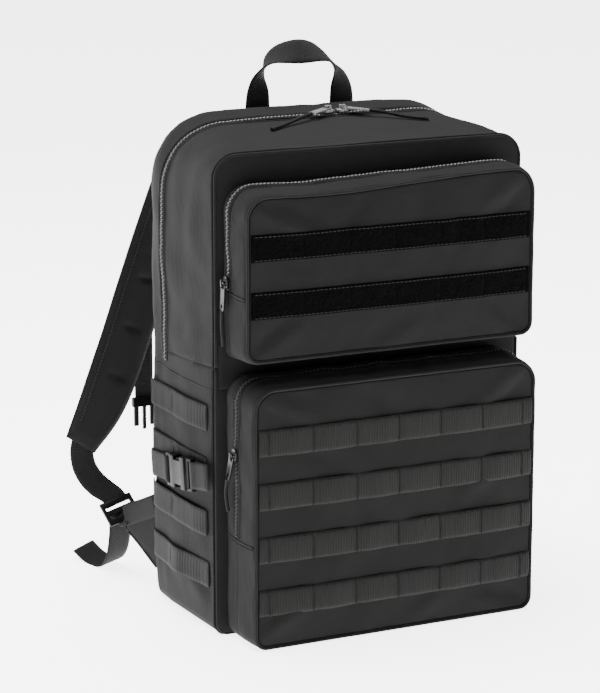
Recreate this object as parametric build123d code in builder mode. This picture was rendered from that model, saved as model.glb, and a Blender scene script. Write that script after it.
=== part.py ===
"""Trauma backpack with a clamshell front, two zipped front pockets and webbing rows.

Millimetres. Seen from the front, X runs to the right, Y towards the back panel and Z up.
The origin is on the floor, under the middle of the main body.
"""
from build123d import *
from math import cos, radians, sin, tan
import os

os.makedirs("parts", exist_ok=True)

# ---------------------------------------------------------------- driving dimensions
wall = 3.0              # fabric, foam and lining of the main body together
pocket_wall = 2.5       # fabric and lining of the pockets
seam_gap = 0.3          # half of the gap left at a seam that opens
touch_gap = 0.3         # air between a moving piece and what it lies on

body_front = -80.0      # plane of the main front panel
body_back = 80.0        # plane of the back panel
zip_plane = 25.0        # the clamshell zip runs in this plane
zip_top = 460.0         # top of the main body in that plane
front_top = 448.0       # top of the main body at its front panel
fold_front = 255.0      # height of the clamshell fold at the front panel
fold_side = 250.0       # height where the clamshell zip ends on the sides

# stations of the main body: y, half width, bottom, top, top corner radius
body_stations = [
    (body_front, 157.0, 0.0, front_top, 22.0),
    (zip_plane, 161.0, 0.0, zip_top, 60.0),
    (50.0, 161.0, 0.0, 468.0, 62.0),
    (62.0, 159.0, 3.0, 466.0, 60.0),
    (71.0, 154.0, 8.0, 461.0, 55.0),
    (77.0, 146.0, 14.0, 453.0, 48.0),
    (body_back, 136.0, 22.0, 443.0, 40.0),
]
body_bottom_radius = 12.0
panel_half_width = 140.0
bottom_panel_top = 30.0

# pockets: stations as above, the plane of the zip, the fold, the end of the zip
upper_pocket_front = -125.0
upper_pocket_stations = [
    (upper_pocket_front, 144.5, 267.0, 416.0, 20.0),
    (-121.0, 147.5, 264.5, 419.0, 22.0),
    (body_front, 147.5, 262.0, 421.0, 22.0),
]
upper_zip_plane = -91.0
upper_fold = 298.0
upper_zip_end = 328.0

lower_pocket_front = -136.5
lower_pocket_stations = [
    (lower_pocket_front, 142.5, 2.0, 242.0, 20.0),
    (-132.0, 145.5, 0.0, 245.5, 22.0),
    (body_front, 146.0, 0.0, 247.0, 22.0),
]
lower_zip_plane = -104.0
lower_fold = 70.0
lower_zip_end = 101.0
pocket_bottom_radius = 12.0

# webbing and loop strips, given by the height of each row's top edge
webbing_width = 25.0
webbing_thickness = 1.6
front_row_tops = [208.0, 158.0, 108.0, 58.0]
front_row_half_width = 141.0
side_row_tops = [218.0, 168.0, 118.0, 68.0]
side_row_x = -161.4
side_row_y = -6.0
side_row_length = 124.0
loop_strip_tops = [383.0, 331.0]
loop_strip_half_width = 143.0

# zips, sliders and pulls
zip_lift = 0.2          # the coil stands this far off the fabric
zip_half_width = 2.8
zip_thickness = 1.6
slider_length = 13.0
slider_width = 9.0
slider_base = 2.4
bridge_span = 5.4
bridge_rise = 3.0
bridge_leg = 1.2
bridge_width = 1.8
tab_length = 27.0
tab_width = 8.4
tab_thickness = 1.4
tab_bar = 0.7           # half of the tab's bar that lies under the bridge
tab_slot = (4.8, 6.2)   # the hole that goes round a leg of the bridge
cord_diameter = 3.4

# side release buckles
buckle_height = 31.0
buckle_thickness = 9.0
buckle_wall = 2.0
socket_length = 34.0
bar_length = 12.0
bar_thickness = 5.0
slot_width = 3.5
prong_length = 22.0
prong_height = 6.0
prong_clearance = 0.5

# carry handle
handle_width = 25.0
handle_thickness = 2.4
handle_y = 70.0
handle_foot = 464.5

# shoulder straps
strap_thickness = 11.0
lower_strap_thickness = 1.8

far = 600.0             # beyond the object in any direction
low = -10.0             # below the object


# ---------------------------------------------------------------- helpers
def save(piece, label):
    """Names a finished piece and writes its STEP file."""
    piece.part.label = label
    export_step(piece.part, f"parts/{label}.step")


def save_twin(source, label):
    """The right-hand twin of a left-hand piece."""
    with BuildPart() as twin:
        mirror(objects=source.part, about=Plane.YZ)
    save(twin, label)


def outline(y, half_width, bottom, top, top_radius, bottom_radius):
    """One upright cross-section: a rectangle with round corners in the plane y."""
    with BuildSketch(Plane.XZ.offset(-y)) as sketch:
        with Locations((0, (top + bottom) / 2)):
            Rectangle(2 * half_width, top - bottom)
        fillet(sketch.vertices().group_by(Axis.Y)[-1], top_radius)
        fillet(sketch.vertices().group_by(Axis.Y)[0], bottom_radius)
    return sketch.sketch


def bag_form(stations, bottom_radius, inset, front, back):
    """Solid through the stations, shrunk by inset, with its two ends at front and back."""
    planes = [front] + [station[0] for station in stations[1:-1]] + [back]
    corner = max(bottom_radius - inset, 2.0)
    sections = []
    for y, (_, half_width, bottom, top, radius) in zip(planes, stations):
        sections.append(
            outline(y, half_width - inset, bottom + inset, top - inset, radius - inset, corner)
        )
    with BuildPart() as form:
        loft(sections=sections, ruled=True)
    return form.part


def bag_shell(stations, bottom_radius, thickness, back_thickness):
    """Hollow form. It is open at the back where back_thickness is zero."""
    front = stations[0][0]
    back = stations[-1][0]
    outer = bag_form(stations, bottom_radius, 0.0, front, back)
    inner = bag_form(stations, bottom_radius, thickness, front + thickness, back - back_thickness)
    with BuildPart() as shell:
        add(outer)
        add(inner, mode=Mode.SUBTRACT)
    return shell.part


def cut_panel(source, label, side_outline, x_low=-far, x_high=far):
    """The part of a shell inside an outline seen from the side, between two x planes."""
    with BuildPart() as panel:
        add(source)
        with BuildSketch(Plane.YZ.offset(x_low)):
            Polygon(*side_outline, align=None)
        extrude(amount=x_high - x_low, mode=Mode.INTERSECT)
    save(panel, label)


def side_box(y_low, z_low, y_high, z_high):
    """Corners of a rectangle seen from the side."""
    return [(y_low, z_low), (y_high, z_low), (y_high, z_high), (y_low, z_high)]


def ribbon(stations, thickness):
    """Flat strap through stations: centre, width direction, width."""
    centres = [Vector(*station[0]) for station in stations]
    sections = []
    for index, (_, across, width) in enumerate(stations):
        before = centres[max(index - 1, 0)]
        after = centres[min(index + 1, len(centres) - 1)]
        with BuildSketch(Plane(origin=centres[index], x_dir=across, z_dir=after - before)) as section:
            Rectangle(width, thickness)
        sections.append(section.sketch)
    with BuildPart() as strap:
        loft(sections=sections, ruled=True)
    return strap.part


def station_at(stations, y):
    """Half width, bottom, top and corner radius of a bag form in the plane y."""
    for before, after in zip(stations, stations[1:]):
        if before[0] <= y <= after[0]:
            share = (y - before[0]) / (after[0] - before[0])
            return [a + (b - a) * share for a, b in zip(before[1:], after[1:])]
    raise ValueError(f"no station at {y}")


def zip_band(stations, y_low, end_height, label):
    """Half of a zip's coil on the outside of a form, down to end_height on both sides."""
    y_high = y_low + zip_half_width
    half_width, bottom, top, radius = station_at(stations, y_high)
    inner = zip_lift
    outer = zip_lift + zip_thickness
    with BuildPart() as band:
        extrude(
            outline(y_high, half_width + outer, bottom, top + outer, radius + outer, 5.0),
            amount=zip_half_width,
        )
        extrude(
            outline(y_high, half_width + inner, bottom - 9, top + inner, radius + inner, 5.0),
            amount=zip_half_width,
            mode=Mode.SUBTRACT,
        )
        with Locations((0, y_high, end_height - far / 2)):
            Box(far, 4 * zip_half_width, far, mode=Mode.SUBTRACT)
    save(band, label)


def slider(centre, along, outward, label):
    """Zip slider with a bridge for its pull; along is the direction of the zip."""
    plane = Plane(origin=centre, x_dir=along, z_dir=outward)
    with BuildPart() as body:
        with BuildSketch(plane):
            SlotOverall(slider_length, slider_width)
        extrude(amount=slider_base)
        with BuildSketch(plane.offset(slider_base)):
            with GridLocations(bridge_span, 1, 2, 1):
                Rectangle(bridge_leg, bridge_width)
        extrude(amount=bridge_rise)
        with BuildSketch(plane.offset(slider_base + bridge_rise)):
            Rectangle(bridge_span + bridge_leg, bridge_width)
        extrude(amount=bridge_leg)
    save(body, label)


def pull_tab(eye, heading, across, label):
    """Flat metal pull: its bar lies in the slider's bridge at eye, its slot goes round a leg."""
    slot_length, slot_height = tab_slot
    with BuildPart() as tab:
        with BuildSketch(Plane(origin=eye, x_dir=heading, z_dir=heading.cross(across))):
            with Locations((tab_length / 2 - tab_bar, 0)):
                RectangleRounded(tab_length, tab_width, 2.4)
            with Locations((tab_bar + slot_length / 2, 0)):
                Rectangle(slot_length, slot_height, mode=Mode.SUBTRACT)
            with Locations((tab_length - 5.0, 0)):
                Circle(1.7, mode=Mode.SUBTRACT)
        extrude(amount=tab_thickness / 2, both=True)
    save(tab, label)


def pull_cord(points, label):
    """Short cord on a pull: straight runs joined by tangent arcs."""
    radii = []
    for before, here, after in zip(points, points[1:], points[2:]):
        run_in = Vector(*here) - Vector(*before)
        run_out = Vector(*after) - Vector(*here)
        turn = radians(run_in.get_angle(run_out))
        radii.append(0.45 * min(run_in.length, run_out.length) / tan(turn / 2))
    print(label, "bend radii", [round(radius, 1) for radius in radii])
    with BuildPart() as cord:
        with BuildLine() as route:
            FilletPolyline(*points, radius=radii)
        with BuildSketch(Plane(origin=route.line @ 0, z_dir=route.line % 0)):
            Circle(cord_diameter / 2)
        sweep(path=route.line)
    print(label, "length", round(route.wire().length, 1), "volume", round(cord.part.volume, 1))
    save(cord, label)


# ---------------------------------------------------------------- main body
body_shell = bag_shell(body_stations, body_bottom_radius, wall, wall)
inner_front = body_front + wall
inner_back = body_back - wall
fixed_fold = fold_front - seam_gap
moving_fold = fold_front + seam_gap

cut_panel(body_shell, "back_panel", side_box(inner_back, low, 100, far))
cut_panel(body_shell, "rear_gusset", side_box(zip_plane + seam_gap, fold_side, inner_back, far))
cut_panel(
    body_shell,
    "bottom_panel",
    side_box(-90, low, inner_back, bottom_panel_top),
    -panel_half_width,
    panel_half_width,
)
cut_panel(
    body_shell,
    "front_panel",
    side_box(-90, bottom_panel_top, inner_front, fixed_fold),
    -panel_half_width,
    panel_half_width,
)
side_outline = [
    (-90, low),
    (inner_back, low),
    (inner_back, fold_side),
    (zip_plane, fold_side),
    (body_front, fixed_fold),
    (-90, fixed_fold),
]
cut_panel(body_shell, "side_panel_left", side_outline, -far, -panel_half_width)
cut_panel(body_shell, "side_panel_right", side_outline, panel_half_width, far)

# clamshell flap
cut_panel(body_shell, "flap_panel", side_box(-90, moving_fold, inner_front, far))
cut_panel(
    body_shell,
    "flap_gusset",
    [
        (inner_front, moving_fold),
        (zip_plane - seam_gap, fold_side + 2 * seam_gap),
        (zip_plane - seam_gap, far),
        (inner_front, far),
    ],
)
zip_band(body_stations, zip_plane + seam_gap, fold_side, "main_zip")

sleeve_back = 50.0

# a stiffening sheet inside the back, and an open-topped sleeve in front of it
with BuildPart() as frame_sheet:
    extrude(outline(76.0, 130.0, 28.0, 436.0, 40.0, 20.0), amount=2.5)
save(frame_sheet, "frame_sheet")

with BuildPart() as inner_sleeve:
    extrude(outline(sleeve_back, 143.0, wall, 310.0, 12.0, 3.0), amount=2.0)
save(inner_sleeve, "inner_sleeve")

# padding on the outside of the back: two long pads and one across the waist
pad_thickness = 9.0
with BuildPart() as back_pads:
    with BuildSketch(Plane.XZ.offset(-body_back - pad_thickness)):
        with Locations((-68, 275), (68, 275)):
            RectangleRounded(104, 250, 22)
        with Locations((0, 86)):
            RectangleRounded(240, 96, 22)
    extrude(amount=pad_thickness)
save(back_pads, "back_pads")

# webbing rows on the lower sides
with BuildPart() as side_webbing_left:
    for top in side_row_tops:
        with Locations((side_row_x - webbing_thickness / 2, side_row_y, top - webbing_width / 2)):
            Box(webbing_thickness, side_row_length, webbing_width)
save(side_webbing_left, "side_webbing_left")
save_twin(side_webbing_left, "side_webbing_right")

# ---------------------------------------------------------------- pockets
for name, stations, zip_y, fold, zip_end in (
    ("upper", upper_pocket_stations, upper_zip_plane, upper_fold, upper_zip_end),
    ("lower", lower_pocket_stations, lower_zip_plane, lower_fold, lower_zip_end),
):
    shell = bag_shell(stations, pocket_bottom_radius, pocket_wall, 0.0)
    outside = stations[0][0] - 10
    inside = stations[0][0] + pocket_wall
    cut_panel(shell, f"{name}_pocket_face", side_box(outside, fold + seam_gap, inside, far))
    cut_panel(
        shell,
        f"{name}_pocket_flap_gusset",
        side_box(inside, zip_end + seam_gap, zip_y - seam_gap, far),
    )
    cut_panel(
        shell,
        f"{name}_pocket_gusset",
        [
            (outside, low),
            (body_front, low),
            (body_front, far),
            (zip_y + seam_gap, far),
            (zip_y + seam_gap, zip_end - seam_gap),
            (inside, zip_end - seam_gap),
            (inside, fold - seam_gap),
            (outside, fold - seam_gap),
        ],
    )
    zip_band(stations, zip_y + seam_gap, zip_end, f"{name}_zip")

face_rows = [
    ("lower_webbing_rows", lower_pocket_front, front_row_tops[:3], front_row_half_width),
    ("base_webbing_row", lower_pocket_front, front_row_tops[3:], front_row_half_width),
    ("loop_strips", upper_pocket_front, loop_strip_tops, loop_strip_half_width),
]
for label, face, tops, half_width in face_rows:
    with BuildPart() as rows:
        for top in tops:
            with Locations((0, face - webbing_thickness / 2, top - webbing_width / 2)):
                Box(2 * half_width, webbing_thickness, webbing_width)
    save(rows, label)

# ---------------------------------------------------------------- sliders, pulls and their cords
top_slope = (zip_top - front_top) / (zip_plane - body_front)
coil_top = zip_lift + zip_thickness
bar_height = slider_base + bridge_rise / 2
band_top = station_at(body_stations, zip_plane + seam_gap + zip_half_width)[2] + coil_top
main_slider_z = band_top + touch_gap
tab_droop = 0.03

# side, slider x, way the pull points in degrees
main_sliders = [("left", 8.0, 208.0), ("right", 23.0, 328.0)]
for side, slider_x, heading_angle in main_sliders:
    centre = Vector(slider_x, zip_plane, main_slider_z)
    slider(centre, (1, 0, 0), (0, 0, 1), f"main_slider_{side}")
    flat = Vector(cos(radians(heading_angle)), sin(radians(heading_angle)), 0)
    sideways = Vector(-flat.Y, flat.X, 0)
    heading = (flat + Vector(0, 0, flat.Y * top_slope - tab_droop)).normalized()
    eye = centre + Vector(0, 0, bar_height)
    pull_tab(eye, heading, sideways, f"main_pull_{side}")

# The pocket sliders sit on the left gussets, and their pulls hang down:
# name, stations, zip plane, slider height, lean of the pull to the back
pocket_sliders = [
    ("upper", upper_pocket_stations, upper_zip_plane, 335.0, 0.12),
    ("lower", lower_pocket_stations, lower_zip_plane, 178.0, 0.42),
]
for name, stations, zip_y, slider_z, lean in pocket_sliders:
    half_width = station_at(stations, zip_y + seam_gap + zip_half_width)[0]
    centre = Vector(-half_width - coil_top - touch_gap, zip_y, slider_z)
    slider(centre, (0, 0, 1), (-1, 0, 0), f"{name}_slider")
    heading = Vector(0, lean, -1).normalized()
    eye = centre + Vector(-bar_height, 0, 0)
    pull_tab(eye, heading, heading.cross(Vector(1, 0, 0)), f"{name}_pull")

# each cord starts at the end of its tab and goes on in the tab's direction
cord_routes = {
    "main_cord_left": [
        (-15.14, 12.70, 464.81),
        (-27.46, 6.15, 463.6),
        (-49.2, -4.0, 459.2),
        (-70.6, -16.9, 457.6),
    ],
    "main_cord_right": [
        (45.21, 11.12, 464.63),
        (57.0, 3.7, 463.4),
        (73.2, -8.0, 458.8),
        (92.4, -18.7, 457.4),
    ],
    "upper_cord": [
        (-153.5, -87.87, 308.89),
        (-153.5, -86.7, 299.0),
        (-153.5, -88.5, 287.5),
        (-153.5, -90.5, 276.2),
    ],
    "lower_cord": [
        (-151.8, -93.82, 153.75),
        (-151.8, -89.9, 144.4),
        (-151.8, -91.0, 133.5),
        (-151.8, -95.6, 123.6),
    ],
}
for label, points in cord_routes.items():
    pull_cord(points, label)

# ---------------------------------------------------------------- compression straps and buckles
# The strap slopes down towards the back. In its plane x runs to the back, y up, z outwards.
strap_drop = radians(7.6)
buckle_centre = Vector(side_row_x - webbing_thickness - 0.5, -25.0, 144.9)
strap_plane = Plane(
    origin=buckle_centre,
    x_dir=(0, cos(strap_drop), -sin(strap_drop)),
    z_dir=(-1, 0, 0),
)
socket_front = -socket_length / 2
socket_back = socket_length / 2
bar_front = socket_front - bar_length
plug_back = socket_back + bar_length
cavity_height = buckle_height - 2 * buckle_wall


def strap_box(x_low, x_high, height, z_low, z_high, y=0.0, mode=Mode.ADD):
    """Block in the compression strap's plane."""
    with BuildSketch(strap_plane.offset(z_low)) as block:
        with Locations(((x_low + x_high) / 2, y)):
            Rectangle(x_high - x_low, height)
    extrude(block.sketch, amount=z_high - z_low, mode=mode)


with BuildPart() as socket:
    strap_box(socket_front, socket_back, buckle_height, 0, buckle_thickness)
    strap_box(
        socket_front + buckle_wall,
        socket_back + 1,
        cavity_height,
        buckle_wall,
        buckle_thickness - buckle_wall,
        mode=Mode.SUBTRACT,
    )
    for edge in (-1, 1):
        strap_box(-7, 7, 8, -1, buckle_thickness + 1, y=edge * buckle_height / 2, mode=Mode.SUBTRACT)
    strap_box(bar_front, socket_front, buckle_height, 2, 2 + bar_thickness)
    strap_box(
        bar_front + 3.5,
        bar_front + 3.5 + slot_width,
        webbing_width + 1,
        0,
        buckle_thickness,
        mode=Mode.SUBTRACT,
    )
save(socket, "side_socket_left")
save_twin(socket, "side_socket_right")

with BuildPart() as plug:
    strap_box(socket_back + touch_gap, plug_back, buckle_height, 2, 2 + bar_thickness)
    strap_box(
        plug_back - 3.5 - slot_width,
        plug_back - 3.5,
        webbing_width + 1,
        0,
        buckle_thickness,
        mode=Mode.SUBTRACT,
    )
    prong_y = (cavity_height - prong_height) / 2 - prong_clearance
    for y in (-prong_y, 0, prong_y):
        strap_box(
            socket_back - prong_length,
            socket_back + touch_gap,
            prong_height,
            buckle_wall + prong_clearance,
            buckle_thickness - buckle_wall - prong_clearance,
            y=y,
        )
save(plug, "side_plug_left")
save_twin(plug, "side_plug_right")

# webbing from the front seam to the socket, and from the plug to the back seam
front_webbing_end = -52.0
back_webbing_end = 92.0
with BuildPart() as front_webbing:
    strap_box(front_webbing_end, bar_front, webbing_width, 3.2, 3.2 + webbing_thickness)
    strap_box(front_webbing_end, front_webbing_end + 6, webbing_width, -1.4, 3.2)
save(front_webbing, "compression_webbing_left")
save_twin(front_webbing, "compression_webbing_right")

with BuildPart() as back_webbing:
    strap_box(plug_back, back_webbing_end, webbing_width, 3.2, 3.2 + webbing_thickness)
save(back_webbing, "plug_webbing_left")
save_twin(back_webbing, "plug_webbing_right")

# ---------------------------------------------------------------- carry handle
# Half of the handle from its left foot to the middle: centre and width direction.
# The webbing stands across the bag at its feet, turns edge-on at the corners and
# lies nearly upright, leaning back, along the top.
handle_half = [
    ((-44.5, handle_y, handle_foot), (1.0, 0.0, 0.0)),
    ((-44.0, handle_y, 478.0), (1.0, 0.15, 0.0)),
    ((-42.0, handle_y + 1, 490.0), (0.85, 0.5, -0.05)),
    ((-37.0, handle_y + 2, 501.0), (0.45, 0.87, -0.15)),
    ((-29.0, handle_y + 2, 509.5), (0.15, 0.95, 0.3)),
    ((-17.0, handle_y + 1, 514.5), (0.02, 0.75, 0.66)),
    ((0.0, handle_y, 516.0), (0.0, 0.5, 0.87)),
]
handle_stations = [(centre, across, handle_width) for centre, across in handle_half]
for (x, y, z), (across_x, across_y, across_z) in reversed(handle_half[:-1]):
    handle_stations.append(((-x, y, z), (-across_x, across_y, across_z), handle_width))
with BuildPart() as carry_handle:
    add(ribbon(handle_stations, handle_thickness))
save(carry_handle, "carry_handle")

# ---------------------------------------------------------------- shoulder straps
# Left strap from its top end to its tip: centre, width, turn of the width about Z in degrees.
strap_line = [
    ((-73.0, 86.0, 438.0), 50.0, 0.0),
    ((-74.5, 100.0, 442.0), 52.0, 0.0),
    ((-80.0, 121.0, 434.0), 56.0, 4.0),
    ((-90.0, 143.0, 400.0), 60.0, 8.0),
    ((-105.0, 160.0, 345.0), 60.0, 12.0),
    ((-124.0, 168.0, 285.0), 60.0, 15.0),
    ((-145.0, 168.0, 225.0), 60.0, 15.0),
    ((-170.0, 163.0, 170.0), 54.0, 12.0),
    ((-197.0, 158.0, 129.0), 34.0, 5.0),
]
strap_stations = []
for centre, width, turn in strap_line:
    strap_stations.append((centre, (cos(radians(turn)), sin(radians(turn)), 0.0), width))
with BuildPart() as shoulder_strap:
    add(ribbon(strap_stations, strap_thickness))
save(shoulder_strap, "shoulder_strap_left")
save_twin(shoulder_strap, "shoulder_strap_right")

# webbing from the strap's tip down to the ladder lock, and its tail on the floor
lower_across = (0.97, 0.1, 0.22)
lower_webbing_line = [
    ((-201.0, 158.5, 118.0), lower_across),
    ((-203.0, 158.0, 105.0), lower_across),
    ((-197.0, 155.5, 93.5), lower_across),
    ((-187.5, 152.5, 89.0), lower_across),
    ((-178.5, 149.5, 88.0), lower_across),
    ((-172.0, 144.5, 82.5), lower_across),
    ((-170.5, 140.5, 77.5), lower_across),
]
tail_line = [
    ((-166.8, 134.4, 63.0), lower_across),
    ((-164.5, 138.0, 44.0), (1.0, 0.0, 0.1)),
    ((-164.5, 146.0, 20.0), (1.0, 0.0, 0.0)),
    ((-167.0, 155.0, 6.0), (1.0, 0.0, 0.0)),
    ((-171.0, 168.0, 1.4), (1.0, 0.0, 0.0)),
    ((-176.0, 184.0, 4.0), (1.0, 0.0, 0.0)),
    ((-181.0, 198.0, 12.0), (1.0, 0.0, 0.0)),
]
with BuildPart() as strap_webbing:
    for line in (lower_webbing_line, tail_line):
        stations = [(point, across, webbing_width) for point, across in line]
        add(ribbon(stations, lower_strap_thickness))
save(strap_webbing, "strap_webbing_left")
save_twin(strap_webbing, "strap_webbing_right")

# ladder lock that joins them, and the stitched triangle that holds it at the bottom corner
lock_plane = Plane(origin=(-167.0, 131.0, 66.0), x_dir=lower_across, z_dir=(0.1, 0.75, -0.6))
lock_width = webbing_width + 9
lock_length = 25.0
lock_bar = 6.0
lock_thickness = 4.0
with BuildPart() as ladder_lock:
    with BuildSketch(lock_plane):
        Rectangle(lock_width, lock_length)
        Rectangle(webbing_width + 2, lock_length - 2 * lock_bar, mode=Mode.SUBTRACT)
        Rectangle(lock_width, lock_bar)
    extrude(amount=lock_thickness / 2, both=True)
save(ladder_lock, "ladder_lock_left")
save_twin(ladder_lock, "ladder_lock_right")

wing_plane = Plane(origin=(-152.6, 73.5, 0.0), x_dir=(-0.26, 0.966, 0.0), z_dir=(0.966, 0.26, 0.0))
wing_thickness = 2.5
with BuildPart() as wing:
    with BuildSketch(wing_plane):
        Polygon((0, 94), (0, 22), (48, 52), (48, 72), align=None)
    extrude(amount=wing_thickness / 2, both=True)
save(wing, "strap_wing_left")
save_twin(wing, "strap_wing_right")

# ---------------------------------------------------------------- sternum strap halves
# A keeper on each shoulder strap carries webbing that hangs straight down to a buckle half.
keeper_centre = Vector(-122.0, 180.0, 262.0)
keeper_across = Vector(cos(radians(14)), sin(radians(14)), 0)
keeper_down = Vector(-0.32, 0.03, -0.95)
keeper_plane = Plane(origin=keeper_centre, x_dir=keeper_across, z_dir=keeper_across.cross(keeper_down))
keeper_thickness = 3.0
with BuildPart() as keeper:
    with BuildSketch(keeper_plane):
        Rectangle(32, 24)
        with GridLocations(1, 11, 1, 2):
            Rectangle(26, 3.6, mode=Mode.SUBTRACT)
    extrude(amount=keeper_thickness / 2, both=True)
save(keeper, "sternum_keeper_left")
save_twin(keeper, "sternum_keeper_right")

sternum_width = 20.0
sternum_x = -118.0
sternum_y = 184.0
sternum_top = 249.8
sternum_bottom = 163.0
with BuildPart() as sternum_webbing:
    with Locations((sternum_x, sternum_y, (sternum_bottom + sternum_top) / 2)):
        Box(sternum_width, 1.6, sternum_top - sternum_bottom)
save(sternum_webbing, "sternum_webbing_left")
save_twin(sternum_webbing, "sternum_webbing_right")

sternum_base = 9.0
prong_root = sternum_bottom - sternum_base
with BuildPart() as sternum_plug:
    with Locations((sternum_x, sternum_y, sternum_bottom - sternum_base / 2)):
        Box(25, 6, sternum_base)
    for offset, width, length in ((-8.6, 4.6, 20), (0, 3.2, 24), (8.6, 4.6, 20)):
        with Locations((sternum_x + offset, sternum_y, prong_root - length / 2)):
            Box(width, 3.5, length)
save(sternum_plug, "sternum_plug")

sternum_socket_length = 34.0
with BuildPart() as sternum_socket:
    with Locations((-sternum_x, sternum_y, sternum_bottom)):
        Box(27, 9, sternum_socket_length, align=(Align.CENTER, Align.CENTER, Align.MAX))
    with Locations((-sternum_x, sternum_y, sternum_bottom - 6)):
        Box(
            23,
            5.4,
            sternum_socket_length,
            align=(Align.CENTER, Align.CENTER, Align.MAX),
            mode=Mode.SUBTRACT,
        )
save(sternum_socket, "sternum_socket")
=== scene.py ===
import math
from contextlib import contextmanager

import bmesh
import bpy
import numpy as np
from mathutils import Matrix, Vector


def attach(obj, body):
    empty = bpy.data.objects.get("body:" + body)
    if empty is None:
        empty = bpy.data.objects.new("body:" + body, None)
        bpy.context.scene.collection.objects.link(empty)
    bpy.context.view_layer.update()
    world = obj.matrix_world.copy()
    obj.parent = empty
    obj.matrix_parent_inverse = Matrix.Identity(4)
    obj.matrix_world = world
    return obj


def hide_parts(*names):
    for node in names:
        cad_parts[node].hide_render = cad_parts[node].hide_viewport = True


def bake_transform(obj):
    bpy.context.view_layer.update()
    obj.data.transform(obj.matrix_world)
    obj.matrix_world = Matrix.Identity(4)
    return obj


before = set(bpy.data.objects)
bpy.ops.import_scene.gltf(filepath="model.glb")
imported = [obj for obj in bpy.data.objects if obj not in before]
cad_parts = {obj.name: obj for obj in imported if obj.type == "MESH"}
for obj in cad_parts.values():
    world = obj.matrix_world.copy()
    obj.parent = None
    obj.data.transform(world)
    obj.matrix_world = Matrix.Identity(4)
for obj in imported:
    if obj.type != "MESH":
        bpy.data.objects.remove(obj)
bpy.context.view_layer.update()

# Lengths below are millimetres in the CAD model's frame, and become metres in Shape.build().
# The materials' own sizes are metres.
MM = 0.001
TURN = 2 * math.pi

# ---------------------------------------------------------------- driving dimensions
body_front = -80.0
body_back = 80.0
main_zip_y = 25.0
main_zip_end = 240.0
fold_front = 255.0
fold_side = 250.0
# y, half width, bottom, top, top corner radius
body_stations = [
    (body_front, 157.0, 0.0, 448.0, 22.0),
    (main_zip_y, 161.0, 0.0, 460.0, 60.0),
    (50.0, 160.0, 0.0, 468.0, 62.0),
    (62.0, 156.0, 3.0, 466.0, 60.0),
    (71.0, 150.0, 8.0, 461.0, 55.0),
    (77.0, 143.0, 14.0, 453.0, 48.0),
    (body_back, 134.0, 22.0, 443.0, 40.0),
]
main_bag = {"stations": body_stations, "zip": main_zip_y}
upper_pocket = {
    "front": -125.0,
    "zip": -91.0,
    "zip_end": 328.0,
    "fold": 298.0,
    "stations": [(-125.0, 146.5, 265.5, 417.5, 22.0), (body_front, 147.5, 262.0, 421.0, 22.0)],
    "bodies": ("main_flap", "upper_pocket_flap"),
}
lower_pocket = {
    "front": -136.5,
    "zip": -104.0,
    "zip_end": 101.0,
    "fold": 70.0,
    "stations": [(-136.5, 144.5, 0.6, 244.0, 21.0), (body_front, 146.0, 0.0, 247.0, 22.0)],
    "bodies": ("pack_body", "lower_pocket_flap"),
}
pockets = {"upper": upper_pocket, "lower": lower_pocket}
bottom_radius = 12.0
fabric_thickness = 2.2
pocket_thickness = 1.8
webbing_width = 25.0
webbing_thickness = 1.5
seam_radius = 0.75
binding_radius = 1.9
stitch_lift = 0.15
tack_pitch = 43.5
upright = (0, 0, 1)


# ---------------------------------------------------------------- points and paths
def ripple(points, size, seed, octaves=3):
    """Smooth irregular field, about -1 to 1, with bumps of the given size, the same at each run."""
    random = np.random.default_rng(seed)
    total = np.zeros(len(points))
    strength = 1.0
    for octave in range(octaves):
        directions = unit(random.normal(size=(7, 3)))
        phases = random.uniform(0, TURN, 7)
        waves = np.sin(points @ directions.T * (TURN / size) + phases)
        total += strength * waves.sum(axis=1) / 3.2
        size /= 1.9
        strength *= 0.5
    return total / 1.6


def step(values, low, high):
    """0 below low, 1 above high, smooth between."""
    t = np.clip((values - low) / (high - low), 0, 1)
    return t * t * (3 - 2 * t)


def ridge(values, centre, width):
    """1 at the centre, falling to nothing on both sides of it."""
    return np.exp(-(((values - centre) / width) ** 2))


def join(x, y, z):
    """Points from three coordinates, each an array or one number for all points."""
    return np.stack(np.broadcast_arrays(x, y, z), axis=-1).astype(float)


def smooth_path(points, spacing):
    """Points about spacing apart on a smooth curve through the given ones, any number of columns."""
    points = np.array(points, float)
    ends = np.vstack([2 * points[0] - points[1], points, 2 * points[-1] - points[-2]])
    result = []
    for a, b, c, d in zip(ends, ends[1:], ends[2:], ends[3:]):
        steps = max(int(np.linalg.norm((c - b)[:3]) / spacing), 1)
        for t in np.linspace(0, 1, steps, endpoint=False):
            result.append(
                0.5 * (2 * b + (c - a) * t + (2 * a - 5 * b + 4 * c - d) * t**2
                       + (3 * b - a - 3 * c + d) * t**3)
            )
    result.append(points[-1])
    return np.array(result)


def unit(vectors):
    """Rows scaled to length one."""
    return vectors / np.maximum(np.linalg.norm(vectors, axis=-1, keepdims=True), 1e-9)


def tangents(path, closed=False):
    """Direction of travel at each point of a path."""
    if closed:
        return unit(np.roll(path, -1, axis=0) - np.roll(path, 1, axis=0))
    return unit(np.gradient(path, axis=0))


def run_lengths(path):
    """Distance travelled along a path at each of its points."""
    return np.concatenate([[0], np.cumsum(np.linalg.norm(np.diff(path, axis=0), axis=1))])


def points_at(path, places):
    """Points of a path at the given distances along it."""
    lengths = run_lengths(path)
    return np.stack([np.interp(places, lengths, path[:, axis]) for axis in range(3)], axis=1)


def square_to(across, along):
    """Width directions turned square to the directions of travel."""
    return unit(across - (across * along).sum(axis=-1, keepdims=True) * along)


def two_across(along):
    """Two directions square to each direction of travel and to each other."""
    reference = np.where(np.abs(along[..., 1:2]) < 0.8, [0.0, 1.0, 0.0], [0.0, 0.0, 1.0])
    first = unit(np.cross(along, reference))
    return first, np.cross(along, first)


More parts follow.
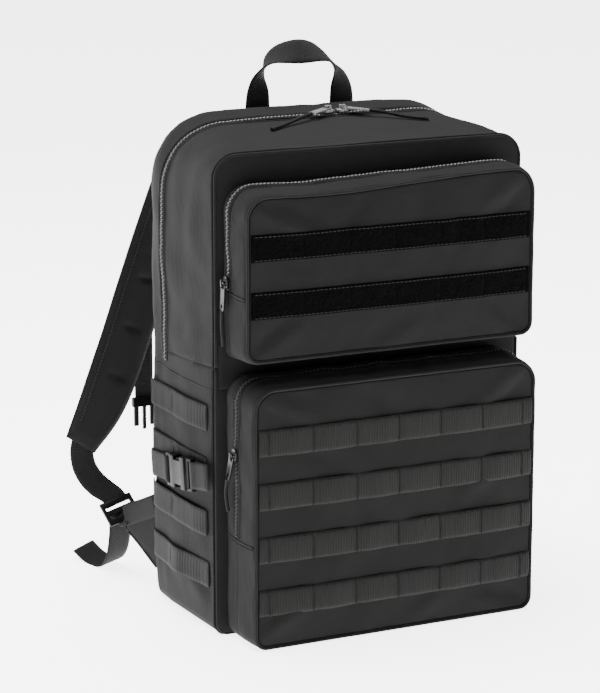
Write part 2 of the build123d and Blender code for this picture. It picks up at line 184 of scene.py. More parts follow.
# ---------------------------------------------------------------- meshes
# in metres, for points that bmesh counts as one
same_place = 1e-6


def add_object(name, data):
    """A new object in the scene."""
    thing = bpy.data.objects.new(name, data)
    bpy.context.scene.collection.objects.link(thing)
    return thing


@contextmanager
def editing(mesh):
    """Opens a mesh for bmesh operators, and writes it back."""
    work = bmesh.new()
    work.from_mesh(mesh)
    yield work
    work.to_mesh(mesh)
    work.free()


def mesh_points(mesh):
    points = np.empty(len(mesh.vertices) * 3)
    mesh.vertices.foreach_get("co", points)
    return points.reshape(-1, 3)


def settle(piece):
    """Applies a piece's modifiers, so that its mesh is final."""
    bpy.context.view_layer.update()
    evaluated = piece.evaluated_get(bpy.context.evaluated_depsgraph_get())
    mesh = bpy.data.meshes.new_from_object(evaluated)
    piece.modifiers.clear()
    piece.data = mesh
    return piece


def belongs(piece, body, slot, *nodes):
    """Says which body a piece rides and the CAD nodes it stands for, which are hidden; its slot argument is
    not used.
    """
    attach(piece, body)
    if nodes:
        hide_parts(*nodes)
    return piece


def grid_faces(rows, columns, closed):
    """Quads between neighbouring rows of points; closed joins each row's end to its start."""
    faces = []
    for i in range(rows - 1):
        for j in range(columns if closed else columns - 1):
            k = (j + 1) % columns
            faces.append((i * columns + j, i * columns + k, (i + 1) * columns + k, (i + 1) * columns + j))
    return faces


def solid_faces(rows, sides):
    """Faces of a solid through closed outlines, with one face over each end."""
    ends = [tuple(range(sides)), tuple(range((rows - 1) * sides, rows * sides))]
    return grid_faces(rows, sides, True) + ends


class Shape:
    """Points, faces and cloth coordinates gathered for one piece."""

    def __init__(self):
        self.points = []
        self.faces = []
        self.slots = []
        self.cloth = []
        self.count = 0

    def add(self, points, faces, slot=0, cloth=None):
        points = np.asarray(points, float).reshape(-1, 3)
        self.points.append(points)
        self.faces.extend(tuple(i + self.count for i in face) for face in faces)
        self.slots.extend([slot] * len(faces))
        self.cloth.append(np.zeros((len(points), 2)) if cloth is None else np.asarray(cloth, float))
        self.count += len(points)
        return self

    def build(self, name, *materials):
        points = np.vstack(self.points) * MM
        points[:, 2] = np.maximum(points[:, 2], 0)
        cloth = np.vstack(self.cloth) * MM
        mesh = bpy.data.meshes.new(name)
        mesh.from_pydata(points.tolist(), [], self.faces)
        for material in materials:
            mesh.materials.append(material)
        mesh.polygons.foreach_set("material_index", self.slots)
        layer = mesh.uv_layers.new(name="cloth")
        corners = np.empty(len(mesh.loops), np.int32)
        mesh.loops.foreach_get("vertex_index", corners)
        layer.data.foreach_set("uv", cloth[corners].ravel())
        with editing(mesh) as work:
            bmesh.ops.remove_doubles(work, verts=work.verts, dist=same_place)
            bmesh.ops.recalc_face_normals(work, faces=work.faces)
        mesh.shade_smooth()
        return add_object(name, mesh)


def tube(shape, path, radius, closed=False, slot=0, sides=8):
    """Adds a round tube along a path."""
    path = np.asarray(path, float)
    first, second = two_across(tangents(path, closed))
    angles = np.linspace(0, TURN, sides, endpoint=False)[:, None]
    points = path[:, None] + radius * (first[:, None] * np.cos(angles) + second[:, None] * np.sin(angles))
    if closed:
        points = np.concatenate([points, points[:1]])
        shape.add(points, grid_faces(len(points), sides, True), slot)
    else:
        shape.add(points, solid_faces(len(points), sides), slot)


def strap(shape, centres, across, width, thickness, slot=0, columns=9, crown=0.0):
    """Adds flat webbing along a path. Its edges lie lower than its middle by crown."""
    centres = np.asarray(centres, float)
    along = tangents(centres)
    across = square_to(across * np.ones_like(centres), along)
    outward = np.cross(along, across)
    side = np.linspace(-1, 1, columns)
    rounded = np.minimum(1, (1.04 - np.abs(side)) * 6)
    lateral = np.concatenate([side, side[::-1]])
    height = np.concatenate([rounded, -rounded[::-1]]) * thickness / 2 - crown * np.abs(lateral) ** 3
    lateral = lateral * width / 2
    points = centres[:, None] + across[:, None] * lateral[:, None] + outward[:, None] * height[:, None]
    cloth = np.stack(np.broadcast_arrays(run_lengths(centres)[:, None], lateral), axis=-1)
    shape.add(points, solid_faces(len(centres), len(lateral)), slot, cloth.reshape(-1, 2))


def prism(shape, start, end, radius, slot=0):
    """Adds one short length of thread between two points, thickest in its middle."""
    first, second = two_across(unit(end - start))
    corners = np.array([first + second, second - first, -first - second, first - second])
    middle = (start + end) / 2
    points = [start + radius / 2 * corners, middle + radius * corners, end + radius / 2 * corners]
    shape.add(points, solid_faces(3, 4), slot)


def stitches(shape, path, pitch=3.4, length=2.4, radius=0.32, slot=0):
    """Adds a row of thread stitches along a path."""
    starts = np.arange(0, run_lengths(path)[-1] - length, pitch)
    for start, end in zip(points_at(path, starts), points_at(path, starts + length)):
        prism(shape, start, end, radius, slot)


tack_thread_pitch = 1.3
tack_half_width = 1.1
tack_lean = 0.5
tack_radius = 0.38


def bar_tack(shape, centre, along, across, height, slot=0):
    """Adds a dense zigzag of thread: along is its long direction."""
    centre, along, across = (np.asarray(v, float) for v in (centre, along, across))
    half = across * tack_half_width + along * tack_lean
    for share in np.linspace(-0.5, 0.5, int(height / tack_thread_pitch)):
        at = centre + along * share * height
        prism(shape, at - half, at + half, tack_radius, slot)


# ---------------------------------------------------------------- materials
class Nodes:
    """Short forms for building one material's node tree."""

    def __init__(self, name):
        self.material = bpy.data.materials.new(name)
        self.material.use_nodes = True
        self.tree = self.material.node_tree
        self.shader = self.tree.nodes["Principled BSDF"]

    def new(self, kind, **settings):
        node = self.tree.nodes.new(kind)
        for key, value in settings.items():
            setattr(node, key, value)
        return node

    def link(self, source, target):
        self.tree.links.new(source, target)

    def place(self):
        """Coordinates of the piece itself, in metres."""
        return self.new("ShaderNodeTexCoord").outputs["Object"]

    def axes(self, vector):
        node = self.new("ShaderNodeSeparateXYZ")
        self.link(vector, node.inputs[0])
        return node.outputs

    def calculate(self, operation, first, second=0.0):
        node = self.new("ShaderNodeMath", operation=operation)
        for socket, value in zip(node.inputs, (first, second)):
            if isinstance(value, (int, float)):
                socket.default_value = value
            else:
                self.link(value, socket)
        return node.outputs[0]

    def total(self, *terms):
        """Sum of values, each given with its share."""
        result = 0.0
        for value, share in terms:
            part = value if share == 1 else self.calculate("MULTIPLY", value, share)
            result = self.calculate("ADD", part, result)
        return result

    def noise(self, coordinates, size, detail=3.0, roughness=0.55):
        """Noise whose features are about size metres across."""
        node = self.new("ShaderNodeTexNoise")
        node.inputs["Scale"].default_value = 1 / size
        node.inputs["Detail"].default_value = detail
        node.inputs["Roughness"].default_value = roughness
        self.link(coordinates, node.inputs["Vector"])
        return node.outputs["Fac"]

    def wave(self, coordinate, pitch):
        """Sine of one coordinate with the given pitch in metres."""
        return self.calculate("SINE", self.calculate("MULTIPLY", coordinate, TURN / pitch))

    def mix_colours(self, factor, dark, light):
        ramp = self.new("ShaderNodeValToRGB")
        ramp.color_ramp.elements[0].color = (*dark, 1)
        ramp.color_ramp.elements[1].color = (*light, 1)
        self.link(factor, ramp.inputs["Fac"])
        return ramp.outputs["Color"]

    def bump(self, height, distance, strength=1.0, below=None):
        node = self.new("ShaderNodeBump")
        node.inputs["Distance"].default_value = distance
        node.inputs["Strength"].default_value = strength
        self.link(height, node.inputs["Height"])
        if below is not None:
            self.link(below, node.inputs["Normal"])
        return node.outputs["Normal"]

    def set(self, **values):
        """Sets the shader's own sockets, each to one value for the whole surface."""
        for key, value in values.items():
            self.shader.inputs[key.replace("_", " ")].default_value = value

    def finish(self, colour, normal, roughness=None):
        self.link(colour, self.shader.inputs["Base Color"])
        self.link(normal, self.shader.inputs["Normal"])
        if roughness is not None:
            self.link(roughness, self.shader.inputs["Roughness"])
        return self.material


def shades(level, spread, tint=(1.0, 1.0, 1.0)):
    """A darker and a lighter shade about one grey level."""
    dark = tuple(level * (1 - spread) * part for part in tint)
    light = tuple(level * (1 + spread) * part for part in tint)
    return dark, light


def woven(name, level, pitch=0.9, depth=0.12, sheen=0.04, rough=0.78):
    """Plain-weave cloth. pitch and depth of the weave are millimetres."""
    m = Nodes(name)
    place = m.place()
    threads = m.total(*((m.wave(axis, pitch * MM), 1) for axis in m.axes(place)))
    slub = m.noise(place, 0.0016, detail=2.0)
    cloudy = m.noise(place, 0.05, detail=4.0)
    colour = m.mix_colours(m.total((slub, 0.55), (cloudy, 0.45)), *shades(level, 0.6, (1.0, 1.01, 0.98)))
    soft = m.bump(m.noise(place, 0.018, detail=3.0), 0.0007, 0.35)
    normal = m.bump(m.total((threads, 1), (slub, 1.2)), depth * MM, 0.35, soft)
    m.set(Roughness=rough, Sheen_Weight=sheen, Sheen_Roughness=0.45, Specular_IOR_Level=0.07)
    return m.finish(colour, normal)


def webbing(name, level, rib=2.6, tint=(1.03, 1.01, 0.94)):
    """Ribbed webbing: ribs, rib millimetres apart, run across its width, with fine threads along it."""
    m = Nodes(name)
    along, across, _ = m.axes(m.new("ShaderNodeUVMap", uv_map="cloth").outputs[0])
    ribs = m.wave(along, rib * MM)
    threads = m.wave(across, 0.9 * MM)
    slub = m.noise(m.place(), 0.0013, detail=2.0)
    height = m.total((ribs, 0.6), (threads, 0.35), (slub, 1))
    fraction = m.calculate("ADD", m.total((slub, 0.6), (ribs, 0.26)), 0.15)
    colour = m.mix_colours(fraction, *shades(level, 0.55, tint))
    m.set(Roughness=0.66, Sheen_Weight=0.04, Sheen_Roughness=0.4, Specular_IOR_Level=0.12)
    return m.finish(colour, m.bump(height, 0.35 * MM, 0.8))


def fuzzy(name, level):
    """Loop tape: tangled pile with no shine."""
    m = Nodes(name)
    place = m.place()
    cells = m.new("ShaderNodeTexVoronoi")
    cells.inputs["Scale"].default_value = 900
    m.link(place, cells.inputs["Vector"])
    pile = m.noise(place, 0.0022, detail=5.0, roughness=0.7)
    height = m.total((pile, 1), (cells.outputs["Distance"], 0.5))
    colour = m.mix_colours(pile, *shades(level, 0.95, (1.0, 1.0, 0.96)))
    m.set(Roughness=0.95, Sheen_Weight=0.01, Specular_IOR_Level=0.02)
    return m.finish(colour, m.bump(height, 0.0012, 0.9))


def spacer_mesh(name, level):
    """Air mesh: rows of small round holes."""
    m = Nodes(name)
    place = m.place()
    x, _, z = m.axes(place)
    holes = m.calculate("MULTIPLY", m.wave(x, 0.0032), m.wave(z, 0.0032))
    slub = m.noise(place, 0.0012, detail=2.0)
    colour = m.mix_colours(m.total((holes, 0.35), (slub, 0.9)), *shades(level, 0.6))
    m.set(Roughness=0.85, Sheen_Weight=0.15, Specular_IOR_Level=0.25)
    return m.finish(colour, m.bump(m.total((holes, 1), (slub, 1)), 0.0005, 0.8))


def thread(name, level):
    """Twisted sewing thread."""
    m = Nodes(name)
    strands = m.noise(m.place(), 0.0006, detail=1.0)
    m.set(Roughness=0.6, Sheen_Weight=0.03, Specular_IOR_Level=0.1)
    return m.finish(m.mix_colours(strands, *shades(level, 0.35)), m.bump(strands, 0.0002, 0.5))


def moulded(name, level, rough=0.38, gloss=0.4):
    """Moulded plastic with a fine spark-eroded texture and slight scuffs."""
    m = Nodes(name)
    place = m.place()
    spark = m.noise(place, 0.0005, detail=2.0)
    scuffs = m.noise(place, 0.012, detail=5.0, roughness=0.7)
    roughness = m.calculate("ADD", m.total((scuffs, 0.25)), rough - 0.12)
    m.set(Specular_IOR_Level=gloss)
    colour = m.mix_colours(scuffs, *shades(level, 0.22, (1.0, 1.0, 1.03)))
    return m.finish(colour, m.bump(spark, 0.00008, 0.6), roughness)


def metal(name, level, rough=0.3):
    """Cast and plated metal, polished where it is handled."""
    m = Nodes(name)
    place = m.place()
    cast = m.noise(place, 0.0009, detail=3.0)
    wear = m.noise(place, 0.006, detail=5.0, roughness=0.65)
    roughness = m.calculate("ADD", m.total((wear, 0.3)), rough - 0.13)
    m.set(Metallic=1.0)
    colour = m.mix_colours(wear, *shades(level, 0.3, (1.0, 1.0, 1.02)))
    return m.finish(colour, m.bump(cast, 0.00006, 0.5), roughness)


def braid(name, level):
    """Braided cord: crossing diagonal strands."""
    m = Nodes(name)
    x, y, z = m.axes(m.place())
    one = m.wave(m.total((x, 1), (y, 1), (z, 1)), 0.0015)
    two = m.wave(m.total((x, 1), (y, -1), (z, -1)), 0.0015)
    strands = m.calculate("ADD", m.total((one, 0.25), (two, 0.25)), 0.5)
    m.set(Roughness=0.65, Sheen_Weight=0.03, Specular_IOR_Level=0.1)
    return m.finish(m.mix_colours(strands, *shades(level, 0.5)), m.bump(strands, 0.0003, 0.8))


shell_cloth = woven("shell_cloth", 0.0085)
pocket_cloth = woven("pocket_cloth", 0.0067)
strap_cloth = woven("strap_cloth", 0.009, pitch=1.1, sheen=0.05, rough=0.85)
lining_cloth = woven("lining_cloth", 0.03, pitch=0.7, depth=0.06, sheen=0.05)
binding_cloth = woven("binding_cloth", 0.008, pitch=1.2, depth=0.18, sheen=0.06)
# Near-black cloth for thin tubes laid beside piping and welts: painted shadow in the seams' grooves.
painted_groove_shadow = woven("painted_groove_shadow", 0.002, pitch=0.8, sheen=0.0)
tape_cloth = woven("zip_tape_cloth", 0.0035, pitch=0.8)
row_webbing = webbing("row_webbing", 0.0060)
side_webbing = webbing("side_webbing", 0.0026)
strap_webbing_cloth = webbing("strap_webbing_cloth", 0.0070, rib=1.6, tint=(1.03, 1.0, 0.96))
loop_pile = fuzzy("loop_pile", 0.0013)
pad_mesh = spacer_mesh("pad_mesh", 0.009)
dark_thread = thread("dark_thread", 0.008)
edge_thread = thread("edge_thread", 0.02)
light_thread = thread("light_thread", 0.016)
coil_plastic = moulded("coil_plastic", 0.15, rough=0.3)
# A darker copy of coil_plastic for the lower pocket's zip: painted shade, as that zip lies in shade low on
# the bag.
shaded_coil_plastic = moulded("shaded_coil_plastic", 0.03, rough=0.35)
buckle_plastic = moulded("buckle_plastic", 0.0022, rough=0.42, gloss=0.09)
sheet_plastic = moulded("sheet_plastic", 0.05, rough=0.6)
slider_metal = metal("slider_metal", 0.035)
# A much lighter copy of slider_metal for the sliders and pulls on top: painted highlight, since facing up
# they reflect the dim world rather than the bright floor.
painted_highlight_slider_metal = metal("painted_highlight_slider_metal", 0.28, rough=0.45)
cord_braid = braid("cord_braid", 0.008)


# ---------------------------------------------------------------- camera, light and stage
# places in metres, powers in watts
camera_place = (-1.1171, -2.2446, 0.8319)
camera_target = (-0.059, -0.053, 0.259)
camera_lens = 140.26
floor_shade = 0.92
floor_glow = 4.2
floor_reach = 14.0
world_strength = 0.3


def look_at(thing, target):
    direction = Vector(target) - thing.location
    thing.rotation_euler = direction.to_track_quat("-Z", "Y").to_euler()


def add_camera():
    camera = add_object("camera", bpy.data.cameras.new("camera"))
    camera.location = camera_place
    camera.data.lens = camera_lens
    look_at(camera, camera_target)
    bpy.context.scene.camera = camera


def add_light(name, place, target, size, power):
    light = bpy.data.lights.new(name, "AREA")
    light.shape = "RECTANGLE"
    light.size, light.size_y = size
    light.energy = power
    lamp = add_object(name, light)
    lamp.location = place
    look_at(lamp, target)


def add_floor():
    paper = Nodes("floor_paper")
    paper.set(Base_Color=(floor_shade, floor_shade, floor_shade, 1), Roughness=0.9, Specular_IOR_Level=0.0,
              Emission_Color=(1, 1, 1, 1), Emission_Strength=floor_glow)
    corners = [(x * floor_reach, y * floor_reach, 0) for x, y in ((-1, -1), (1, -1), (1, 1), (-1, 1))]
    mesh = bpy.data.meshes.new("floor")
    mesh.from_pydata(corners, [], [(0, 1, 2, 3)])
    mesh.materials.append(paper.material)
    add_object("floor", mesh)


def add_world():
    world = bpy.data.worlds.new("studio")
    bpy.context.scene.world = world
    world.use_nodes = True
    background = world.node_tree.nodes["Background"]
    background.inputs["Color"].default_value = (1, 1, 1, 1)
    background.inputs["Strength"].default_value = world_strength


add_camera()
add_floor()
add_world()
add_light("key_top", (-0.25, 0.3, 2.6), (0, 0, 0.2), (1.8, 1.6), 190)
add_light("left_wall", (-2.6, 0.3, 1.0), (0, 0, 0.25), (1.6, 1.8), 0.8)
add_light("front_fill", (1.0, -2.6, 1.3), (0, 0, 0.25), (1.6, 1.4), 14)


# ---------------------------------------------------------------- pull cords
# Control points in millimetres, the same routes as the CAD tubes.
cord_diameter = 3.4
cord_routes = {
    "main_cord_left": [(-15.14, 12.70, 464.81), (-27.46, 6.15, 463.6),
                       (-49.2, -4.0, 459.2), (-70.6, -16.9, 457.6)],
    "main_cord_right": [(45.21, 11.12, 464.63), (57.0, 3.7, 463.4),
                        (73.2, -8.0, 458.8), (92.4, -18.7, 457.4)],
    "upper_cord": [(-153.5, -87.87, 308.89), (-153.5, -86.7, 299.0),
                   (-153.5, -88.5, 287.5), (-153.5, -90.5, 276.2)],
    "lower_cord": [(-151.8, -93.82, 153.75), (-151.8, -89.9, 144.4),
                   (-151.8, -91.0, 133.5), (-151.8, -95.6, 123.6)],
}
cord_bodies = {
    "main_cord_left": "zip_pull_left",
    "main_cord_right": "zip_pull_right",
    "upper_cord": "upper_pocket_pull",
    "lower_cord": "lower_pocket_pull",
}


def add_cord(node):
    curve = bpy.data.curves.new(node + "_line", "CURVE")
    curve.dimensions = "3D"
    curve.bevel_depth = cord_diameter / 2 * MM
    curve.bevel_resolution = 4
    curve.use_fill_caps = True
    curve.resolution_u = 16
    points = [tuple(c * MM for c in point) for point in cord_routes[node]]
    spline = curve.splines.new("NURBS")
    spline.points.add(len(points) - 1)
    for control, point in zip(spline.points, points):
        control.co = (*point, 1)
    spline.order_u = 3
    spline.use_endpoint_u = True
    curve.materials.append(cord_braid)
    cord = add_object(node + "_line", curve)
    belongs(cord, cord_bodies[node], "cord", node)


for node in cord_routes:
    add_cord(node)


# ---------------------------------------------------------------- bag shapes
edge_points = 22
side_points = 62
corner_points = 16
lower_corner_points = 7


def station_at(stations, y):
    """Half width, bottom, top and corner radius of a bag in the plane y, or in each of several."""
    rows = np.array(stations)
    return [np.interp(y, rows[:, 0], rows[:, column]) for column in range(1, 5)]


def ring(half_width, bottom, top, upper, lower=bottom_radius, inset=0.0):
    """Closed outline as (x, z) points, from the middle of its lower edge, left side first."""
    half_width = half_width - inset
    bottom = bottom + inset
    top = top - inset
    upper = min(max(upper - inset, 0.5), half_width)
    lower = min(max(lower - inset, 0.5), half_width)

    def line(start, end, count):
        return np.linspace(start, end, count, endpoint=False)

    def arc(x, z, radius, first, last, count):
        angles = np.radians(np.linspace(first, last, count, endpoint=False))
        return np.stack([x + radius * np.cos(angles), z + radius * np.sin(angles)], axis=1)

    flat = half_width - lower
    shelf = half_width - upper
    return np.vstack([
        line((0, bottom), (-flat, bottom), edge_points),
        arc(-flat, bottom + lower, lower, 270, 180, lower_corner_points),
        line((-half_width, bottom + lower), (-half_width, top - upper), side_points),
        arc(-shelf, top - upper, upper, 180, 90, corner_points),
        line((-shelf, top), (shelf, top), 2 * edge_points),
        arc(shelf, top - upper, upper, 90, 0, corner_points),
        line((half_width, top - upper), (half_width, bottom + lower), side_points),
        arc(flat, bottom + lower, lower, 0, -90, lower_corner_points),
        line((flat, bottom), (0, bottom), edge_points),
    ])


def ring_at(stations, y, inset=0.0, at=None):
    """The outline of a bag in the plane y as 3-D points, drawn in the plane at where one is given."""
    outline = ring(*station_at(stations, y), inset=inset)
    return join(outline[:, 0], y if at is None else at, outline[:, 1])


def side_path(stations, sign, y, height):
    """A level path along one side of a bag."""
    return join(sign * station_at(stations, y)[0], y, height)


def end_faces(first, sides):
    """Faces that close a narrow outline: a strip between its level edges and one face at either side."""
    half = sides // 2
    faces = []
    for i in range(edge_points):
        faces.append((first + i, first + i + 1, first + half - i - 1, first + half - i))
        right = (sides - i) % sides
        faces.append((first + right, first + sides - i - 1, first + half + i + 1, first + half + i))
    faces.append(tuple(range(first + edge_points, first + half - edge_points + 1)))
    faces.append(tuple(range(first + sides - edge_points, first + half + edge_points - 1, -1)))
    return faces


def skin(name, rings, *materials):
    """Closed surface through outlines."""
    points = np.array(rings)
    count, sides = points.shape[:2]
    ends = end_faces(0, sides) + end_faces((count - 1) * sides, sides)
    return Shape().add(points, grid_faces(count, sides, True) + ends).build(name, *materials)


def set_points(piece, points):
    """Gives a piece new points in metres, none of them under the floor."""
    points[:, 2] = np.maximum(points[:, 2], 0)
    piece.data.vertices.foreach_set("co", points.ravel())
    piece.data.update()


def puff_out(piece, bag):
    """Moves a bag's skin along its normals by the bag's swell, and then by its sag."""
    points = mesh_points(piece.data)
    normals = np.empty(len(points) * 3)
    piece.data.vertex_normals.foreach_get("vector", normals)
    set_points(piece, points + normals.reshape(-1, 3) * (bag["swell"](points / MM) * MM)[:, None])
    points = mesh_points(piece.data)
    set_points(piece, points + bag["sag"](points / MM) * MM)


def zip_relief(y, z, zip_y, zip_end):
    """The fabric dips under a zip and is folded double along both of its sides."""
    beside = np.abs(y - zip_y)
    relief = -0.4 * ridge(beside, 0, 4.2) + 0.25 * ridge(beside, 7.5, 2.0)
    return relief * step(z, zip_end - 6, zip_end + 4)


crease_strength = 1.6
# Soft folds, each given as its two ends, its width and how far it stands out:
# in the side panels as (y, z), and in the pockets' faces as (x, z).
side_creases = [
    ((-50, 452), (-30, 330), 11, 0.6), ((62, 440), (45, 300), 10, -0.9), ((-70, 300), (-10, 262), 8, 0.9),
    ((5, 232), (60, 205), 7, 0.8), ((-60, 30), (10, 62), 9, 1.1), ((60, 120), (20, 150), 7, -0.8),
]
upper_creases = [
    ((-136, 404), (-70, 376), 7, 1.7), ((-30, 408), (-50, 378), 8, -1.3), ((132, 408), (84, 384), 7, 1.5),
    ((40, 404), (58, 352), 9, 1.1), ((-140, 262), (-92, 300), 8, 1.5), ((136, 268), (96, 310), 8, -1.3),
    ((-20, 262), (30, 290), 9, 1.2),
]
lower_creases = [
    ((-138, 236), (-84, 214), 7, 1.6), ((134, 240), (90, 212), 8, 1.5), ((-40, 240), (-10, 212), 9, -1.2),
    ((-136, 14), (-90, 40), 8, 1.4), ((136, 12), (80, 36), 8, -1.3), ((20, 10), (50, 34), 8, 1.0),
    ((-120, 190), (-60, 172), 8, -0.8), ((100, 140), (60, 118), 8, 0.8),
]


def creases(across, up, lines):
    """How far the given folds stand out at each place."""
    total = np.zeros_like(across)
    for start, end, width, height in lines:
        run = np.array(end, float) - np.array(start, float)
        length = np.hypot(*run)
        along = ((across - start[0]) * run[0] + (up - start[1]) * run[1]) / length
        aside = ((up - start[1]) * run[0] - (across - start[0]) * run[1]) / length
        fade = step(along, -0.25 * length, 0.35 * length) * step(-along, -1.2 * length, -0.6 * length)
        fold = ridge(aside, 0, width) - 0.6 * ridge(aside, 1.7 * width, width)
        total += crease_strength * height * fade * fold
    return total


band_seam_height = 233.0
lower_layer_thickness = 0.9
strap_height = 142.0
strap_reach = 26
side_puff = 2.6
rear_puff = 1.2
top_puff = 1.6
swell_under_pulls = 0.3
face_puff = 3.6
gusset_puff = 1.3


def body_swell(points):
    """The body's puffed sides, held in by its straps, with the edge of the lower layer of cloth."""
    x, y, z = points.T
    front_part = np.sin(math.pi * np.clip((y - body_front) / (main_zip_y - body_front), 0, 1))
    rear_part = np.sin(math.pi * np.clip((y - main_zip_y) / (77 - main_zip_y), 0, 1))
    on_side = step(np.abs(x), 120, 150)
    on_top = 1 - on_side
    upper_side = 1 - 0.3 * step(z, 250, 300)
    pressed = 1 - 0.92 * ridge(z, strap_height, strap_reach) ** 2
    puff = on_side * pressed * upper_side * (side_puff * front_part + rear_puff * rear_part) * step(z, 0, 60)
    puff += on_top * step(z, 300, 420) * top_puff * front_part
    folds = ripple(points, 110, 3) * 1.9 + ripple(points, 38, 5) * 0.6
    folds += creases(y, z, side_creases) * on_side
    folds *= step(y - body_front, 0, 14) * step(z, 2, 40) * (0.35 + 0.65 * pressed)
    lower_layer = lower_layer_thickness * on_side * step(-y, -77, -60)
    lower_layer *= step(-z, -band_seam_height, 2 - band_seam_height)
    total = puff + folds + lower_layer + zip_relief(y, z, main_zip_y, fold_side)
    under_pulls = on_top * step(z, 436, 450)
    return total + (np.minimum(total, swell_under_pulls) - total) * under_pulls


def pocket_swell(pocket, seed, folds):
    """A pocket's puffed face and gusset, as a function of points."""
    front = pocket["front"]
    half_width, bottom, top, _ = station_at(pocket["stations"], front)
    middle = (bottom + top) / 2
    half_height = (top - bottom) / 2

    def amount(points):
        x, y, z = points.T
        on_face = np.clip(1 - (y - front) / 3, 0, 1)
        across = np.clip(1 - np.abs(x / half_width) ** 4, 0, 1)
        up = np.clip(1 - np.abs((z - middle) / half_height) ** 4, 0, 1)
        face = face_puff * across * up + ripple(points, 85, seed) * 1.3 * np.sqrt(across * up)
        face += ripple(points, 30, seed + 1) * 0.4
        face += creases(x, z, folds) * np.minimum(1, 3 * across) * np.minimum(1, 3 * up)
        depth = (y - front) / (body_front - front)
        gusset = gusset_puff * np.sin(math.pi * np.clip(depth, 0, 1)) + ripple(points, 45, seed + 2)
        gusset += zip_relief(y, z, pocket["zip"], pocket["zip_end"])
        return (face * on_face + gusset * (1 - on_face)) * step(z, -4, 10)

    return amount


def upper_sag(points):
    """The upper pocket's top edge hangs a little on the left and is drawn up at the right."""
    x, y, z = points.T
    high = step(z, 370, 415)
    forward = np.clip((upper_pocket["zip"] - y) / 30, 0, 1)
    return join(0, 0, high * (-2.0 * ridge(x, -70, 50) + (3.2 + 3.6 * forward) * step(x, -50, 120)))


def no_sag(points):
    return np.zeros_like(points)


main_bag.update(swell=body_swell, sag=no_sag)
lower_pocket.update(swell=pocket_swell(lower_pocket, 21, lower_creases), sag=no_sag)
upper_pocket.update(swell=pocket_swell(upper_pocket, 41, upper_creases), sag=upper_sag)


def outward_normals(path):
    """Directions out of a bag in the XZ plane, for a path that runs up its left side and over its top."""
    return unit(np.cross(tangents(path), [0.0, 1.0, 0.0]))


def relief_path(bag, path, lift, on_face=False):
    """A path on a bag's side or face, moved out with the skin's own relief and then by lift."""
    outward = np.array([0.0, -1.0, 0.0]) if on_face else outward_normals(path)
    moved = path + outward * (bag["swell"](path)[:, None] + lift)
    return moved + bag["sag"](moved)


def cut(piece, place, normal):
    """Puts an edge loop along a plane, without removing anything."""
    with editing(piece.data) as work:
        bmesh.ops.bisect_plane(
            work, geom=work.verts[:] + work.edges[:] + work.faces[:], dist=same_place,
            plane_co=Vector(place) * MM, plane_no=Vector(normal),
        )


def share(piece, name, wanted):
    """A copy of the piece with only the faces whose centre is wanted, given in millimetres."""
    data = piece.data.copy()
    with editing(data) as work:
        others = [face for face in work.faces if not wanted(*(face.calc_center_median() / MM))]
        bmesh.ops.delete(work, geom=others, context="FACES")
    return add_object(name, data)


def thicken(piece, thickness=fabric_thickness):
    """Gives a skin its thickness on the inside, with the lining as its inner face."""
    solid = piece.modifiers.new("cloth_thickness", "SOLIDIFY")
    solid.thickness = thickness * MM
    solid.offset = -1
    solid.material_offset = 1
    return settle(piece)


def cap_insets(last, gap=7.5):
    """Insets of the rings that close a face, from its middle out to its edge."""
    return np.linspace(last, 0, int(last / gap) + 1)[:-1]


# ---------------------------------------------------------------- main body
fold_strip = (234.0, 278.0)
fold_strip_reach = 154.0
front_cap_reach = 154.0
back_cap_reach = 131.0
# planes of the body's outlines between its front edge and its rear edge, closer beside the zip
body_planes = [
    -77.5, -74, -68, -61, -54, -46, -38, -30, -22, -14, -6, 2,
    *(main_zip_y + d for d in (-15, -11, -8, -6, -4, -2, 0, 2, 4, 6, 8, 11, 15)),
    45, 50, 56, 62, 67, 71, 74, 77, 79,
]


def body_rings():
    rings = [ring_at(body_stations, body_front, inset) for inset in cap_insets(front_cap_reach)]
    rings.append(ring_at(body_stations, body_front, 3.0))
    rings.append(ring_at(body_stations, body_front, 0.8, at=body_front + 0.7))
    rings.extend(ring_at(body_stations, y) for y in [*body_planes, body_back])
    rings.extend(ring_at(body_stations, body_back, inset) for inset in cap_insets(back_cap_reach)[::-1])
    return rings


def fold_height(y):
    """Height of the clamshell's fold line on the sides."""
    return fold_front + (fold_side - fold_front) * (y - body_front) / (main_zip_y - body_front)


def in_fold_strip(x, y, z):
    return y < body_front + 0.5 and fold_strip[0] < z < fold_strip[1] and abs(x) < fold_strip_reach


def in_flap(x, y, z):
    return y < main_zip_y and z > fold_height(y) and not in_fold_strip(x, y, z)


def in_fixed_body(x, y, z):
    return not in_fold_strip(x, y, z) and not in_flap(x, y, z)


def add_body():
    whole = skin("whole_body", body_rings(), shell_cloth, lining_cloth)
    puff_out(whole, main_bag)
    cut(whole, (0, main_zip_y, 0), (0, 1, 0))
    cut(whole, (0, body_front, fold_front), (0, fold_front - fold_side, main_zip_y - body_front))
    for height in fold_strip:
        cut(whole, (0, 0, height), upright)
    fixed = thicken(share(whole, "body_shell", in_fixed_body))
    belongs(fixed, "pack_body", "shell_fabric", "back_panel", "rear_gusset", "side_panel_left",
            "side_panel_right", "bottom_panel", "front_panel")
    flap = thicken(share(whole, "flap_shell", in_flap))
    belongs(flap, "main_flap", "shell_fabric", "flap_panel", "flap_gusset")
    strip = thicken(share(whole, "front_fold", in_fold_strip))
    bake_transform(strip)
    bpy.data.objects.remove(whole)


add_body()


# ---------------------------------------------------------------- pockets
piping_radius = 1.45
# radius of the near-black tube of painted shadow just inside each pocket's piping
groove_shadow_radius = 0.55
planes_beside_zip = (-10.5, -8.5, -6.5, -4, -2, 0, 2, 4, 6.5, 8.5, 10.5)


